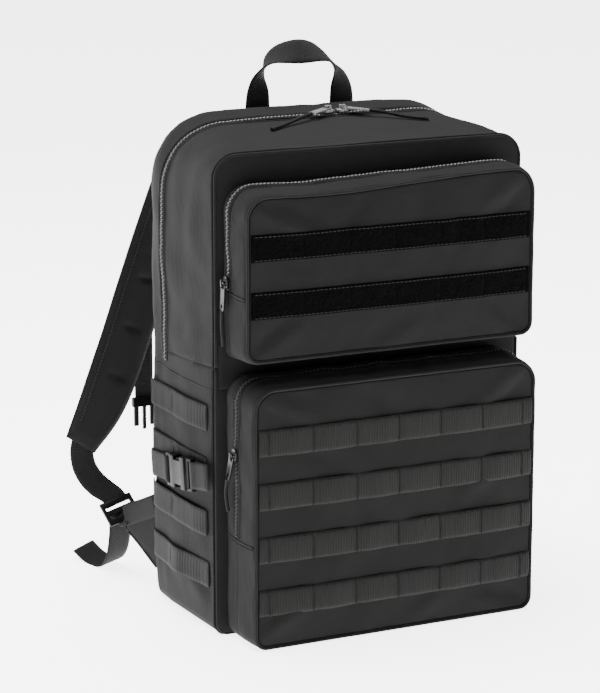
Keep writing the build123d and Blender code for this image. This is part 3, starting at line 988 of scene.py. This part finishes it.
def pocket_rings(pocket):
    """Outlines from the middle of a pocket's face, round its edge and back to the body."""
    stations, front, zip_y = (pocket[key] for key in ("stations", "front", "zip"))
    _, bottom, top, _ = station_at(stations, front)
    rings = [ring_at(stations, front, inset) for inset in cap_insets((top - bottom) / 2 - 2.5, 6.0)]
    rings.append(ring_at(stations, front, 2.6))
    rings.append(ring_at(stations, front, 0.7, at=front + 0.6))
    beside = [zip_y + d for d in planes_beside_zip if zip_y + d < body_front - 0.5]
    walls = np.arange(front + 6, beside[0] - 2, 4)
    rings.extend(ring_at(stations, y) for y in [front + 2.4, *walls, *beside, body_front])
    return rings


def bend(piece):
    """The pocket's front would fold down from just above its lower webbing to the end of its zip; here the
    piece's placement is only baked into its mesh, and it rides no body.
    """
    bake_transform(piece)


def add_pocket(name, pocket):
    front = pocket["front"]
    whole = skin(name + "_whole", pocket_rings(pocket), pocket_cloth, lining_cloth)
    puff_out(whole, pocket)
    cut(whole, (0, pocket["zip"], 0), (0, 1, 0))
    cover = thicken(share(whole, name + "_cover", lambda x, y, z: y < pocket["zip"]), pocket_thickness)
    back = thicken(share(whole, name + "_back", lambda x, y, z: y > pocket["zip"]), pocket_thickness)
    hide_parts(f"{name}_pocket_face", f"{name}_pocket_flap_gusset")
    bend(cover)
    belongs(back, pocket["bodies"][0], "shell_fabric", f"{name}_pocket_gusset")
    bpy.data.objects.remove(whole)
    edge = Shape()
    rim = ring_at(pocket["stations"], front, 1.3, at=front + 0.5)
    tube(edge, relief_path(pocket, rim, 0.4, on_face=True), piping_radius, closed=True)
    # A near-black tube just inside the piping: painted shadow in the groove there.
    groove_shadow_path = ring_at(pocket["stations"], front, 3.5)
    tube(edge, relief_path(pocket, groove_shadow_path, 0.05, on_face=True), groove_shadow_radius, closed=True, slot=1)
    bend(edge.build(name + "_piping", binding_cloth, painted_groove_shadow))


add_pocket("lower", lower_pocket)
add_pocket("upper", upper_pocket)


# ---------------------------------------------------------------- zips
tape_width = 11.0
tape_thickness = 0.8
tooth_pitch = 1.9
tooth_reach = 1.0
tooth_lean = 0.7
# along the zip and up, round one turn of the coil
tooth_profile = [(-0.6, 0.0), (-0.45, 1.3), (0.45, 1.3), (0.6, 0.0)]
tape_lift = 0.8
coil_lift = 1.2
hem_offset = 6.0
hem_radius = 0.7
hem_stitch_offset = 8.2


def run_over_top(path, end_height):
    """The part of a closed outline above a height, from its left end over the top to its right."""
    start = int(np.argmax(path[:, 2] > end_height))
    above = [point for point in path[start:] if point[2] > end_height]
    first, last = above[0].copy(), above[-1].copy()
    first[2] = last[2] = end_height
    return np.vstack([first, above, last])


def zip_line(bag, y, end_height, lift):
    """A path over a bag in the plane y, between two ends at one height."""
    return relief_path(bag, smooth_path(run_over_top(ring_at(bag["stations"], y), end_height), 3.0), lift)


def add_teeth(shape, path, slot):
    """Coil turns along a path, leaning to one side and the other in turn."""
    centres = points_at(path, np.arange(1, run_lengths(path)[-1] - 1, tooth_pitch))
    along = tangents(centres)
    outward = outward_normals(centres)
    for index, centre in enumerate(centres):
        lean = tooth_lean if index % 2 else -tooth_lean
        points = []
        for side, height_share in ((-tooth_reach, 0.55), (0.0, 1.0), (tooth_reach, 0.55)):
            middle = centre + np.array([0.0, side + lean, 0.0])
            for run, height in tooth_profile:
                points.append(middle + along[index] * run + outward[index] * height * height_share)
        shape.add(points, solid_faces(3, len(tooth_profile)), slot)


def zip_hem(name, bag, side, end_height):
    """The folded, stitched edge of the cloth in front of a zip (side -1) or behind it (side 1)."""
    edge = Shape()
    tube(edge, zip_line(bag, bag["zip"] + side * hem_offset, end_height, 0.1), hem_radius)
    stitches(edge, zip_line(bag, bag["zip"] + side * hem_stitch_offset, end_height, stitch_lift), slot=1)
    return edge.build(name, binding_cloth, edge_thread)


def add_zip(name, bag, end_height, body, coil):
    """Tape and coil on the body, and the folded edge of the cloth behind them."""
    chain = Shape()
    strap(chain, zip_line(bag, bag["zip"], end_height, tape_lift), (0, 1, 0), tape_width, tape_thickness)
    add_teeth(chain, zip_line(bag, bag["zip"], end_height, coil_lift), slot=1)
    belongs(chain.build(name + "_chain", tape_cloth, coil), body, "zip_coil", name + "_zip")
    belongs(zip_hem(name + "_back_edge", bag, 1, end_height), body, "shell_fabric")


add_zip("main", main_bag, main_zip_end, "pack_body", coil_plastic)
add_zip("upper", upper_pocket, upper_pocket["zip_end"], "main_flap", coil_plastic)
# the lower zip's coil takes the copy with painted shade
add_zip("lower", lower_pocket, lower_pocket["zip_end"], "pack_body", shaded_coil_plastic)
belongs(zip_hem("main_front_edge", main_bag, -1, fold_side), "main_flap", "shell_fabric")
for name, pocket in pockets.items():
    bend(zip_hem(name + "_front_edge", pocket, -1, pocket["zip_end"]))


def add_gusset_seams(name, pocket):
    """Seams across a pocket's two gussets, just under the ends of its zip."""
    height = pocket["zip_end"] - 3.0
    runs = (
        ("front", pocket["front"] + 2, pocket["zip"] - 0.5),
        ("back", pocket["zip"] + 0.5, body_front - 1),
    )
    for part, first, last in runs:
        seam = Shape()
        for sign in (-1, 1):
            path = side_path(pocket["stations"], sign, np.linspace(first, last, 14), height)
            path[:, 0] += sign * (pocket["swell"](path) + 0.2)
            tube(seam, path, seam_radius)
            stitches(seam, path - np.array([0, 0, 3.0]), slot=1)
        piece = seam.build(f"{name}_gusset_seam_{part}", binding_cloth, dark_thread)
        if part == "front":
            bend(piece)
        else:
            belongs(piece, pocket["bodies"][0], "shell_fabric")


for name, pocket in pockets.items():
    add_gusset_seams(name, pocket)


# ---------------------------------------------------------------- seams of the main body
welt_radius = 1.6
rear_welt_radius = 1.7
rear_welt_y = 77.0
# radius of the near-black tube of painted shadow beside the front welt
front_groove_shadow_radius = 0.8


def split_outline(path, height):
    """A closed outline as two open runs: over the top above the height, and round the bottom below it."""
    above = run_over_top(path, height)
    below = [point for point in path if point[2] < height]
    turn = int(np.argmax([point[0] > 0 for point in below]))
    lower = np.vstack([below[turn:], below[:turn]])
    return above, lower


def add_front_seams():
    """The welt, a near-black tube of painted shadow in the groove beside it, and stitches round the body's
    front edge, in a part above its fold and one below.
    """
    welt = ring_at(body_stations, body_front, 1.0, at=body_front + 0.6)
    groove_shadow_path = ring_at(body_stations, body_front + 2.6)
    stitched = ring_at(body_stations, body_front + 5.5)
    runs = zip(*(split_outline(outline, fold_front) for outline in (welt, groove_shadow_path, stitched)))
    for body, (welt_run, groove_shadow_run, stitched_run) in zip(("main_flap", "pack_body"), runs):
        seam = Shape()
        tube(seam, welt_run, welt_radius)
        # painted shadow along the groove beside the welt
        tube(seam, relief_path(main_bag, groove_shadow_run, 0.1), front_groove_shadow_radius, slot=1)
        stitches(seam, relief_path(main_bag, stitched_run, stitch_lift), slot=2)
        piece = seam.build(f"front_seam_{body}", binding_cloth, painted_groove_shadow, dark_thread)
        belongs(piece, body, "shell_fabric")


def add_rear_seams():
    """The welt round the body's back edge, and the seam along each side where the lower layer ends."""
    rear = Shape()
    tube(rear, ring_at(body_stations, rear_welt_y, -0.2), rear_welt_radius, closed=True)
    for sign in (-1, 1):
        path = side_path(body_stations, sign, np.linspace(body_front + 3, 74, 40), band_seam_height)
        path[:, 0] += sign * (body_swell(path) + 0.1)
        stitches(rear, path - np.array([0, 0, 4.0]), slot=1)
        tube(rear, path, 0.7)
    belongs(rear.build("rear_seams", binding_cloth, dark_thread), "pack_body", "shell_fabric")


add_front_seams()
add_rear_seams()


# ---------------------------------------------------------------- webbing rows and loop strips
front_row_tops = [208.0, 158.0, 108.0, 58.0]
front_row_reach = 140.5
side_row_tops = [218.0, 168.0, 118.0, 68.0]
side_row_ends = (-68.0, 56.0)
side_tacks = [-65.5, 4.0, 53.0]
row_crown = 0.8
front_row_rise = 1.1
side_row_rise = 0.6
clearance = 0.1
tack_length = webbing_width - 3
loop_strip_tops = [383.0, 331.0]
loop_strip_reach = 142.0
loop_strip_width = 25.2
loop_stitch_offset = 10.6
loop_edge = 1.2
pile_height = 1.5
stray_pile = 0.28
uneven_pile = 0.25
quilting_pitch = 46.0


def loops(positions, tacks, rise):
    """How far webbing stands out between neighbouring bar tacks."""
    total = np.zeros_like(positions)
    for first, last in zip(tacks, tacks[1:]):
        share = np.clip((positions - first) / (last - first), 0, 1)
        total += rise * np.abs(np.sin(math.pi * share)) ** 0.7
    return total


def front_row(shape, pocket, top):
    """One webbing row on a pocket's face, tacked down at even steps."""
    height = top - webbing_width / 2
    x = np.linspace(-front_row_reach, front_row_reach, 150)
    tacks = tack_pitch * np.arange(-3, 4)
    inside = np.abs(x) < tacks[-1]
    path = join(x, pocket["front"], height)
    rise = np.where(inside, loops(x, tacks, front_row_rise), clearance)
    path[:, 1] -= pocket["swell"](path) + webbing_thickness / 2 + 2 * clearance + rise
    strap(shape, path, upright, webbing_width, webbing_thickness, crown=row_crown)
    for tack in tacks:
        y = np.interp(tack, x, path[:, 1]) - webbing_thickness / 2 - clearance
        bar_tack(shape, (tack, y, height), upright, (1, 0, 0), tack_length, slot=1)


def add_front_rows():
    """Three rows on the lower pocket's front, which fold down with it, and the row under them."""
    moving = Shape()
    for top in front_row_tops[:3]:
        front_row(moving, lower_pocket, top)
    belongs(moving.build("pocket_webbing", row_webbing, dark_thread), "lower_pocket_flap", "webbing",
            "lower_webbing_rows")
    fixed = Shape()
    front_row(fixed, lower_pocket, front_row_tops[3])
    belongs(fixed.build("base_webbing", row_webbing, dark_thread), "pack_body", "webbing",
            "base_webbing_row")


def add_side_rows(name, sign):
    rows = Shape()
    y = np.linspace(*side_row_ends, 63)
    for top in side_row_tops:
        height = top - webbing_width / 2
        path = side_path(body_stations, sign, y, height)
        rise = clearance + loops(y, side_tacks, side_row_rise)
        path[:, 0] += sign * (body_swell(path) + webbing_thickness / 2 + rise)
        strap(rows, path, upright, webbing_width, webbing_thickness, crown=-sign * row_crown)
        for tack in side_tacks:
            x = np.interp(tack, y, path[:, 0]) + sign * (webbing_thickness / 2 + clearance)
            bar_tack(rows, (x, tack, height), upright, (0, 1, 0), tack_length, slot=1)
    belongs(rows.build(f"side_rows_{name}", side_webbing, dark_thread), "pack_body", "webbing",
            f"side_webbing_{name}")


def add_loop_strips():
    """Two strips of loop tape on the upper pocket: an uneven pile, sewn down at even steps."""
    strips = Shape()
    random = np.random.default_rng(11)
    face = upper_pocket["front"]
    x = np.linspace(-loop_strip_reach, loop_strip_reach, 285)
    z = np.linspace(-webbing_width / 2, webbing_width / 2, 25)
    across, up = (grid.ravel() for grid in np.meshgrid(x, z, indexing="ij"))
    from_edge = np.minimum(1, (loop_strip_width / 2 - np.abs(up)) / loop_edge)
    from_edge *= np.minimum(1, (loop_strip_reach + 0.2 - np.abs(across)) / loop_edge)
    sewn_down = ridge(np.mod(across + 3.5 * quilting_pitch, quilting_pitch), quilting_pitch / 2, 0.9)
    for top in loop_strip_tops:
        height = top - webbing_width / 2
        points = join(across, face, height + up)
        pile = pile_height + random.normal(size=len(points)) * stray_pile
        pile += ripple(points, 9, 17) * uneven_pile
        points[:, 1] -= upper_pocket["swell"](points) + 0.2 + from_edge * pile * (1 - 0.6 * sewn_down)
        strips.add(points, grid_faces(len(x), len(z), False))
        for offset in (-loop_stitch_offset, loop_stitch_offset):
            line = join(x, face, height + offset)
            line[:, 1] -= upper_pocket["swell"](line) + 2.1
            stitches(strips, line[3:-3], pitch=4.2, length=2.8, radius=0.35, slot=1)
    belongs(strips.build("loop_tape_strips", loop_pile, light_thread), "upper_pocket_flap",
            "loop_tape", "loop_strips")


add_front_rows()
add_side_rows("left", -1)
add_side_rows("right", 1)
add_loop_strips()


# ---------------------------------------------------------------- moulded and metal parts
flat_angle = math.radians(4)
sharp_angle = math.radians(35)


def bevelled_copy(node, name, material, body, slot, width):
    """A CAD node's shape with its edges rounded."""
    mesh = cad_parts[node].data.copy()
    mesh.materials.clear()
    mesh.materials.append(material)
    with editing(mesh) as work:
        bmesh.ops.remove_doubles(work, verts=work.verts, dist=same_place)
        bmesh.ops.dissolve_limit(work, angle_limit=flat_angle, verts=work.verts, edges=work.edges)
    piece = add_object(name, mesh)
    rounding = piece.modifiers.new("rounding", "BEVEL")
    rounding.width = width * MM
    rounding.segments = 3
    rounding.limit_method = "ANGLE"
    rounding.angle_limit = sharp_angle
    settle(piece)
    piece.data.shade_smooth()
    return belongs(piece, body, slot, node)


def add_buckle_part(node, name, body, width):
    bevelled_copy(node, name, buckle_plastic, body, "buckle_plastic", width)


def add_slider_part(node, name, body, material):
    bevelled_copy(node, name, material, body, "slider_metal", 0.3)


for side in ("left", "right"):
    add_buckle_part(f"side_socket_{side}", f"buckle_socket_{side}", "pack_body", 0.9)
    add_buckle_part(f"side_plug_{side}", f"buckle_plug_{side}", f"side_buckle_{side}", 0.6)
    add_buckle_part(f"ladder_lock_{side}", f"lock_{side}", "pack_body", 0.7)
    add_buckle_part(f"sternum_keeper_{side}", f"keeper_{side}", f"sternum_{side}", 0.5)
    for part in ("slider", "pull"):
        # the top sliders and pulls take the lighter copy with painted highlight
        add_slider_part(f"main_{part}_{side}", f"top_{part}_{side}", f"zip_{part}_{side}", painted_highlight_slider_metal)
add_buckle_part("sternum_plug", "chest_plug", "sternum_left", 0.5)
add_buckle_part("sternum_socket", "chest_socket", "sternum_right", 0.7)
for name in pockets:
    for part in ("slider", "pull"):
        add_slider_part(f"{name}_{part}", f"{name}_zip_{part}", f"{name}_pocket_{part}", slider_metal)
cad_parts["frame_sheet"].data.materials.clear()
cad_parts["frame_sheet"].data.materials.append(sheet_plastic)


# ---------------------------------------------------------------- carry handle
handle_thickness = 2.4
# centre and width direction of the handle's left half, from its foot to the middle
handle_half = np.array([
    (-44.5, 70.0, 460.0, 1.0, 0.0, 0.0),
    (-44.5, 70.0, 466.0, 1.0, 0.0, 0.0),
    (-44.0, 70.0, 478.0, 1.0, 0.15, 0.0),
    (-42.0, 71.0, 490.0, 0.85, 0.5, -0.05),
    (-37.0, 72.0, 501.0, 0.45, 0.87, -0.15),
    (-29.0, 72.0, 509.5, 0.15, 0.95, 0.3),
    (-17.0, 71.0, 514.5, 0.02, 0.75, 0.66),
    (0.0, 70.0, 516.0, 0.0, 0.5, 0.87),
])


def add_handle():
    other_half = handle_half[-2::-1] * np.array([-1, 1, 1, 1, 1, 1])
    path = smooth_path(np.vstack([handle_half, other_half]), 2.5)
    shape = Shape()
    strap(shape, path[:, :3], path[:, 3:], webbing_width, handle_thickness)
    belongs(shape.build("handle_webbing", strap_webbing_cloth), "handle", "webbing", "carry_handle")


add_handle()


# ---------------------------------------------------------------- shoulder straps
# centre, width and turn of the width direction about Z in degrees, for one strap
strap_line = [
    (-73.0, 81.0, 437.0, 50.0, 0.0),
    (-73.5, 90.0, 440.0, 50.0, 0.0),
    (-75.5, 104.0, 442.0, 53.0, 1.0),
    (-80.0, 121.0, 434.0, 56.0, 4.0),
    (-90.0, 143.0, 400.0, 60.0, 8.0),
    (-105.0, 160.0, 345.0, 60.0, 12.0),
    (-124.0, 168.0, 285.0, 60.0, 15.0),
    (-145.0, 168.0, 225.0, 60.0, 15.0),
    (-170.0, 163.0, 170.0, 54.0, 12.0),
    (-197.0, 158.0, 129.0, 34.0, 5.0),
]
strap_thickness = 11.0
first_crease = 52.0
last_crease = 30.0
crease_pitch = 51.0
crease_width = 2.6
crease_half_length = 11.0
strap_tack_length = 17.0
binding_inset = 0.8
strap_stitch_inset = 5.5


def add_shoulder_strap(name, sign):
    """A padded strap with bound edges, sewn through at even steps along its middle."""
    path = smooth_path(strap_line, 3.0)
    centres = path[:, :3] * np.array([sign, 1, 1])
    half_width = path[:, 3] / 2
    turn = np.radians(path[:, 4])
    along = tangents(centres)
    across = square_to(join(np.cos(turn) * sign, np.sin(turn), 0), along)
    outward = np.cross(along, across)
    lengths = run_lengths(centres)
    side = np.sin(np.linspace(-math.pi / 2, math.pi / 2, 21))
    lateral = side * half_width[:, None]
    tacks = np.arange(first_crease, lengths[-1] - last_crease, crease_pitch)
    crease = sum(ridge(lengths, tack, crease_width) for tack in tacks)
    channel = np.exp(-((lateral / crease_half_length) ** 4))
    full = np.sqrt(np.clip(1 - np.abs(side) ** 5, 0, 1))
    ends = np.minimum(1, 0.35 + lengths / 14) * np.minimum(1, 0.45 + (lengths[-1] - lengths) / 20)
    thick = strap_thickness / 2 * full * ends[:, None] * (1 - 0.5 * crease[:, None] * channel)
    flat = centres[:, None] + across[:, None] * lateral[..., None]
    wrinkle = ripple(flat.reshape(-1, 3), 26, 31).reshape(thick.shape) * 0.35 * full
    front = flat + outward[:, None] * (thick + wrinkle)[..., None]
    back = flat - outward[:, None] * (thick - wrinkle)[..., None]
    points = np.concatenate([front, back[:, ::-1]], axis=1)
    shape = Shape().add(points, solid_faces(*points.shape[:2]))
    for edge in (-1, 1):
        bound = across * (edge * (half_width - binding_inset))[:, None]
        tube(shape, centres + bound, binding_radius, slot=1)
        inset = across * (edge * (half_width - strap_stitch_inset))[:, None]
        for face in (-1, 1):
            lift = outward * face * (strap_thickness / 2 * 0.96 * ends)[:, None]
            stitches(shape, (centres + inset + lift)[6:-6], slot=2)
    for tack in tacks:
        index = int(np.argmin(np.abs(lengths - tack)))
        for face in (-1, 1):
            at = centres[index] + outward[index] * face * strap_thickness * 0.27
            bar_tack(shape, at, across[index], along[index], strap_tack_length, slot=3)
    piece = shape.build(f"padded_strap_{name}", strap_cloth, binding_cloth, edge_thread, dark_thread)
    belongs(piece, f"strap_{name}", "strap_fabric", f"shoulder_strap_{name}")


# ---------------------------------------------------------------- webbing under the straps
# the left side's lines; mirrored() turns them over for the right
lower_across = (0.97, 0.1, 0.22)
lower_webbing_thickness = 1.7
lower_webbing_line = [
    (-192.0, 158.5, 140.0), (-195.5, 158.7, 125.0), (-194.5, 157.0, 109.0), (-189.5, 154.0, 97.0),
    (-183.0, 150.6, 88.5), (-176.8, 147.0, 83.2), (-170.8, 141.2, 78.0), (-167.5, 135.5, 71.0),
]
tail_line = [
    (-166.8, 133.8, 67.0), (-166.0, 135.0, 60.0), (-164.5, 138.0, 44.0), (-164.5, 146.0, 20.0),
    (-167.0, 156.0, 6.0), (-171.0, 168.0, 2.4), (-176.0, 184.0, 5.0), (-181.0, 198.0, 12.0),
]


def mirrored(points, sign):
    """Points or directions of the left side as they are on the side that sign gives."""
    return np.array(points, float) * np.array([-sign, 1, 1])


def add_strap_webbing(name, sign):
    """Webbing that is drawn through the lock as the strap swings, left here on no body, and its tail, which
    stays in place on the pack's body.
    """
    pieces = []
    for part, line in (("lower_webbing", lower_webbing_line), ("webbing_tail", tail_line)):
        shape = Shape()
        strap(shape, mirrored(smooth_path(line, 2.5), sign), mirrored(lower_across, sign), webbing_width,
              lower_webbing_thickness)
        pieces.append(shape.build(f"{part}_{name}", strap_webbing_cloth))
    drawn, tail = pieces
    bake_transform(drawn)
    belongs(tail, "pack_body", "webbing", f"strap_webbing_{name}")


# The corner wing lies in an upright plane that runs back from the body's lower corner.
wing_origin = np.array([-152.6, 73.5, 0.0])
wing_run = np.array([-0.26, 0.966, 0.0])
wing_outward = np.array([0.966, 0.26, 0.0])
wing_reach = 48.0
# heights of the wing's lower and upper edges at the body and at its tip
wing_low = (22.0, 52.0)
wing_high = (94.0, 72.0)
wing_rim = [(0, 94), (24, 83), (48, 72), (48.6, 62), (48, 52), (24, 37), (0, 22)]
wing_columns = 16
wing_rows = 18
wing_webbing_width = 20.0
wing_webbing_lift = 2.3
# where the loop that holds the lock leaves the wing's plane
loop_places = [(-164.9, 121.5, 60.5), (-165.4, 126.0, 60.0), (-165.6, 129.0, 63.5)]


def on_wing(run, height, lift=0.0):
    """A point of the wing: how far back, how high and how far out of its plane."""
    return wing_origin + wing_run * run + wing_outward * lift + np.array([0, 0, height])


def wing_face(lift_sign):
    """Points of one of the wing's two faces, which puff a little away from each other."""
    points = []
    for out in np.linspace(-0.06, 1, wing_columns):
        low_edge, high_edge = (inner + (tip - inner) * out for inner, tip in (wing_low, wing_high))
        for up in np.linspace(0, 1, wing_rows):
            rim = min(up, 1 - up, (1 - out) * 3) * 6
            bulge = 0.9 + 1.1 * min(rim, 1)
            height = low_edge + (high_edge - low_edge) * up
            points.append(on_wing(out * wing_reach, height, lift_sign * bulge))
    return points


def add_wing(name, sign):
    """Doubled triangle of cloth at the bottom corner, with webbing along its upper edge."""
    shape = Shape()
    for face in (-1, 1):
        shape.add(mirrored(wing_face(face), sign), grid_faces(wing_columns, wing_rows, False))
    rim = [on_wing(*place) for place in wing_rim]
    tube(shape, smooth_path(mirrored(rim, sign), 3.0), binding_radius, slot=1)
    for lift in (-wing_webbing_lift, wing_webbing_lift):
        line = [on_wing(run, height, lift) for run, height in ((-2, 84), (24, 73), (47, 63))]
        strap(shape, smooth_path(mirrored(line, sign), 3.0), upright, wing_webbing_width, 1.3, slot=2)
    loop = mirrored([on_wing(45, 63, 1.0), *loop_places], sign)
    strap(shape, smooth_path(loop, 2.0), mirrored((0.5, 0.1, 0.85), sign), wing_webbing_width, 1.5, slot=2)
    piece = shape.build(f"corner_wing_{name}", shell_cloth, binding_cloth, strap_webbing_cloth)
    belongs(piece, "pack_body", "shell_fabric", f"strap_wing_{name}")


sternum_x = 118.0
sternum_webbing_width = 19.5
# y and height of the webbing that runs down each shoulder strap
sternum_line = [(179.0, 266.0), (183.2, 258.0), (184.3, 247.0), (184.0, 215.0), (184.2, 180.0),
                (184.0, 157.0)]


def add_sternum_webbing(name, sign):
    line = [(sternum_x * sign, y, height) for y, height in sternum_line]
    shape = Shape()
    strap(shape, smooth_path(line, 3.0), (1, 0, 0), sternum_webbing_width, webbing_thickness)
    belongs(shape.build(f"chest_webbing_{name}", strap_webbing_cloth), f"sternum_{name}", "webbing",
            f"sternum_webbing_{name}")


# The compression strap slopes down to the back. Each of its runs is given as distances
# along the strap from the middle of the buckle, and outwards from the side.
buckle_place = np.array([-163.5, -25.0, 144.9])
strap_slope = math.radians(7.6)
strap_along = np.array([0.0, math.cos(strap_slope), -math.sin(strap_slope)])
strap_up = np.array([0.0, math.sin(strap_slope), math.cos(strap_slope)])
front_run = [(-54, 0.4), (-50, 2.2), (-43, 3.0), (-35, 4.4), (-29, 6.6), (-25.5, 5.6)]
front_under_run = [(-25.5, 4.2), (-27, 1.2), (-34, 0.6), (-44, 0.8)]
rear_run = [(25.2, 4.6), (26.4, 7.4), (30.5, 7.8), (38, 4.6), (52, 3.2), (64, 2.4), (72, 1.8), (80, 0.2),
            (86, -3.5), (92, -9.0)]
rear_under_run = [(25.2, 4.2), (27, 1.6), (33, 1.0), (44, 1.2), (52, 1.4)]


def add_compression_strap(name, sign):
    """The two halves of a compression strap, each turned back under itself through the buckle."""
    halves = (
        ("front", front_run, front_under_run, 1.4, "pack_body", "compression_webbing"),
        ("rear", rear_run, rear_under_run, 1.3, f"side_buckle_{name}", "plug_webbing"),
    )
    for part, over, under, under_thickness, body, node in halves:
        shape = Shape()
        for steps, thickness in ((over, webbing_thickness), (under, under_thickness)):
            line = [buckle_place + strap_along * run - np.array([out, 0, 0]) for run, out in steps]
            strap(shape, smooth_path(mirrored(line, sign), 2.0), strap_up, webbing_width, thickness)
        belongs(shape.build(f"{part}_strap_{name}", strap_webbing_cloth), body, "webbing", f"{node}_{name}")


for side, sign in (("left", -1), ("right", 1)):
    add_shoulder_strap(side, -sign)
    add_strap_webbing(side, sign)
    add_wing(side, sign)
    add_sternum_webbing(side, sign)
    add_compression_strap(side, sign)


# ---------------------------------------------------------------- back padding and the sleeve inside
pad_mesh_size = 5.0
pad_pressure = 4
pad_frames = 20
pad_swell_limit = 5.0
sleeve_half_width = 143.0
sleeve_bottom = 4.0
sleeve_top = 306.0
sleeve_y = 49.0
sleeve_sag = 6.0
sleeve_columns = 60
sleeve_binding_radius = 1.8


def blow_up(piece):
    """Runs a cloth simulation with air inside, and keeps it within a limit and off the back."""
    rest = mesh_points(piece.data)
    cloth = piece.modifiers.new("blown_up", "CLOTH")
    cloth.settings.use_pressure = True
    cloth.settings.uniform_pressure_force = pad_pressure
    cloth.settings.effector_weights.gravity = 0
    for frame_number in range(1, pad_frames + 1):
        bpy.context.scene.frame_set(frame_number)
    settle(piece)
    bpy.context.scene.frame_set(1)
    moved = mesh_points(piece.data) - rest
    distance = np.linalg.norm(moved, axis=1, keepdims=True)
    points = rest + moved * np.minimum(1, pad_swell_limit * MM / np.maximum(distance, 1e-9))
    points[:, 1] = np.maximum(points[:, 1], body_back * MM)
    set_points(piece, points)


def add_back_pads():
    """Three pads blown up as cloth, held flat against the back."""
    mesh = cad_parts["back_pads"].data.copy()
    mesh.materials.clear()
    mesh.materials.append(pad_mesh)
    piece = add_object("back_padding", mesh)
    remesh = piece.modifiers.new("even_mesh", "REMESH")
    remesh.mode = "VOXEL"
    remesh.voxel_size = pad_mesh_size * MM
    settle(piece)
    blow_up(piece)
    rounding = piece.modifiers.new("rounding", "SUBSURF")
    rounding.levels = 1
    rounding.render_levels = 1
    settle(piece)
    piece.data.shade_smooth()
    belongs(piece, "pack_body", "mesh_padding", "back_pads")


def add_sleeve():
    """Open-topped sleeve that sags a little between its seams, with a bound top edge."""
    x = np.linspace(-sleeve_half_width, sleeve_half_width, sleeve_columns)
    z = np.linspace(sleeve_bottom, sleeve_top, sleeve_columns)
    across, up = np.meshgrid(x, z, indexing="ij")
    y = sleeve_y - sleeve_sag * (1 - (across / sleeve_half_width) ** 2) * step(up, 120, sleeve_top)
    shape = Shape().add(join(across, y, up), grid_faces(sleeve_columns, sleeve_columns, False))
    tube(shape, join(x, y[:, -1], sleeve_top + 0.5), sleeve_binding_radius, slot=1)
    piece = shape.build("sleeve_cloth", lining_cloth, binding_cloth)
    belongs(piece, "pack_body", "lining_fabric", "inner_sleeve")


add_back_pads()
add_sleeve()
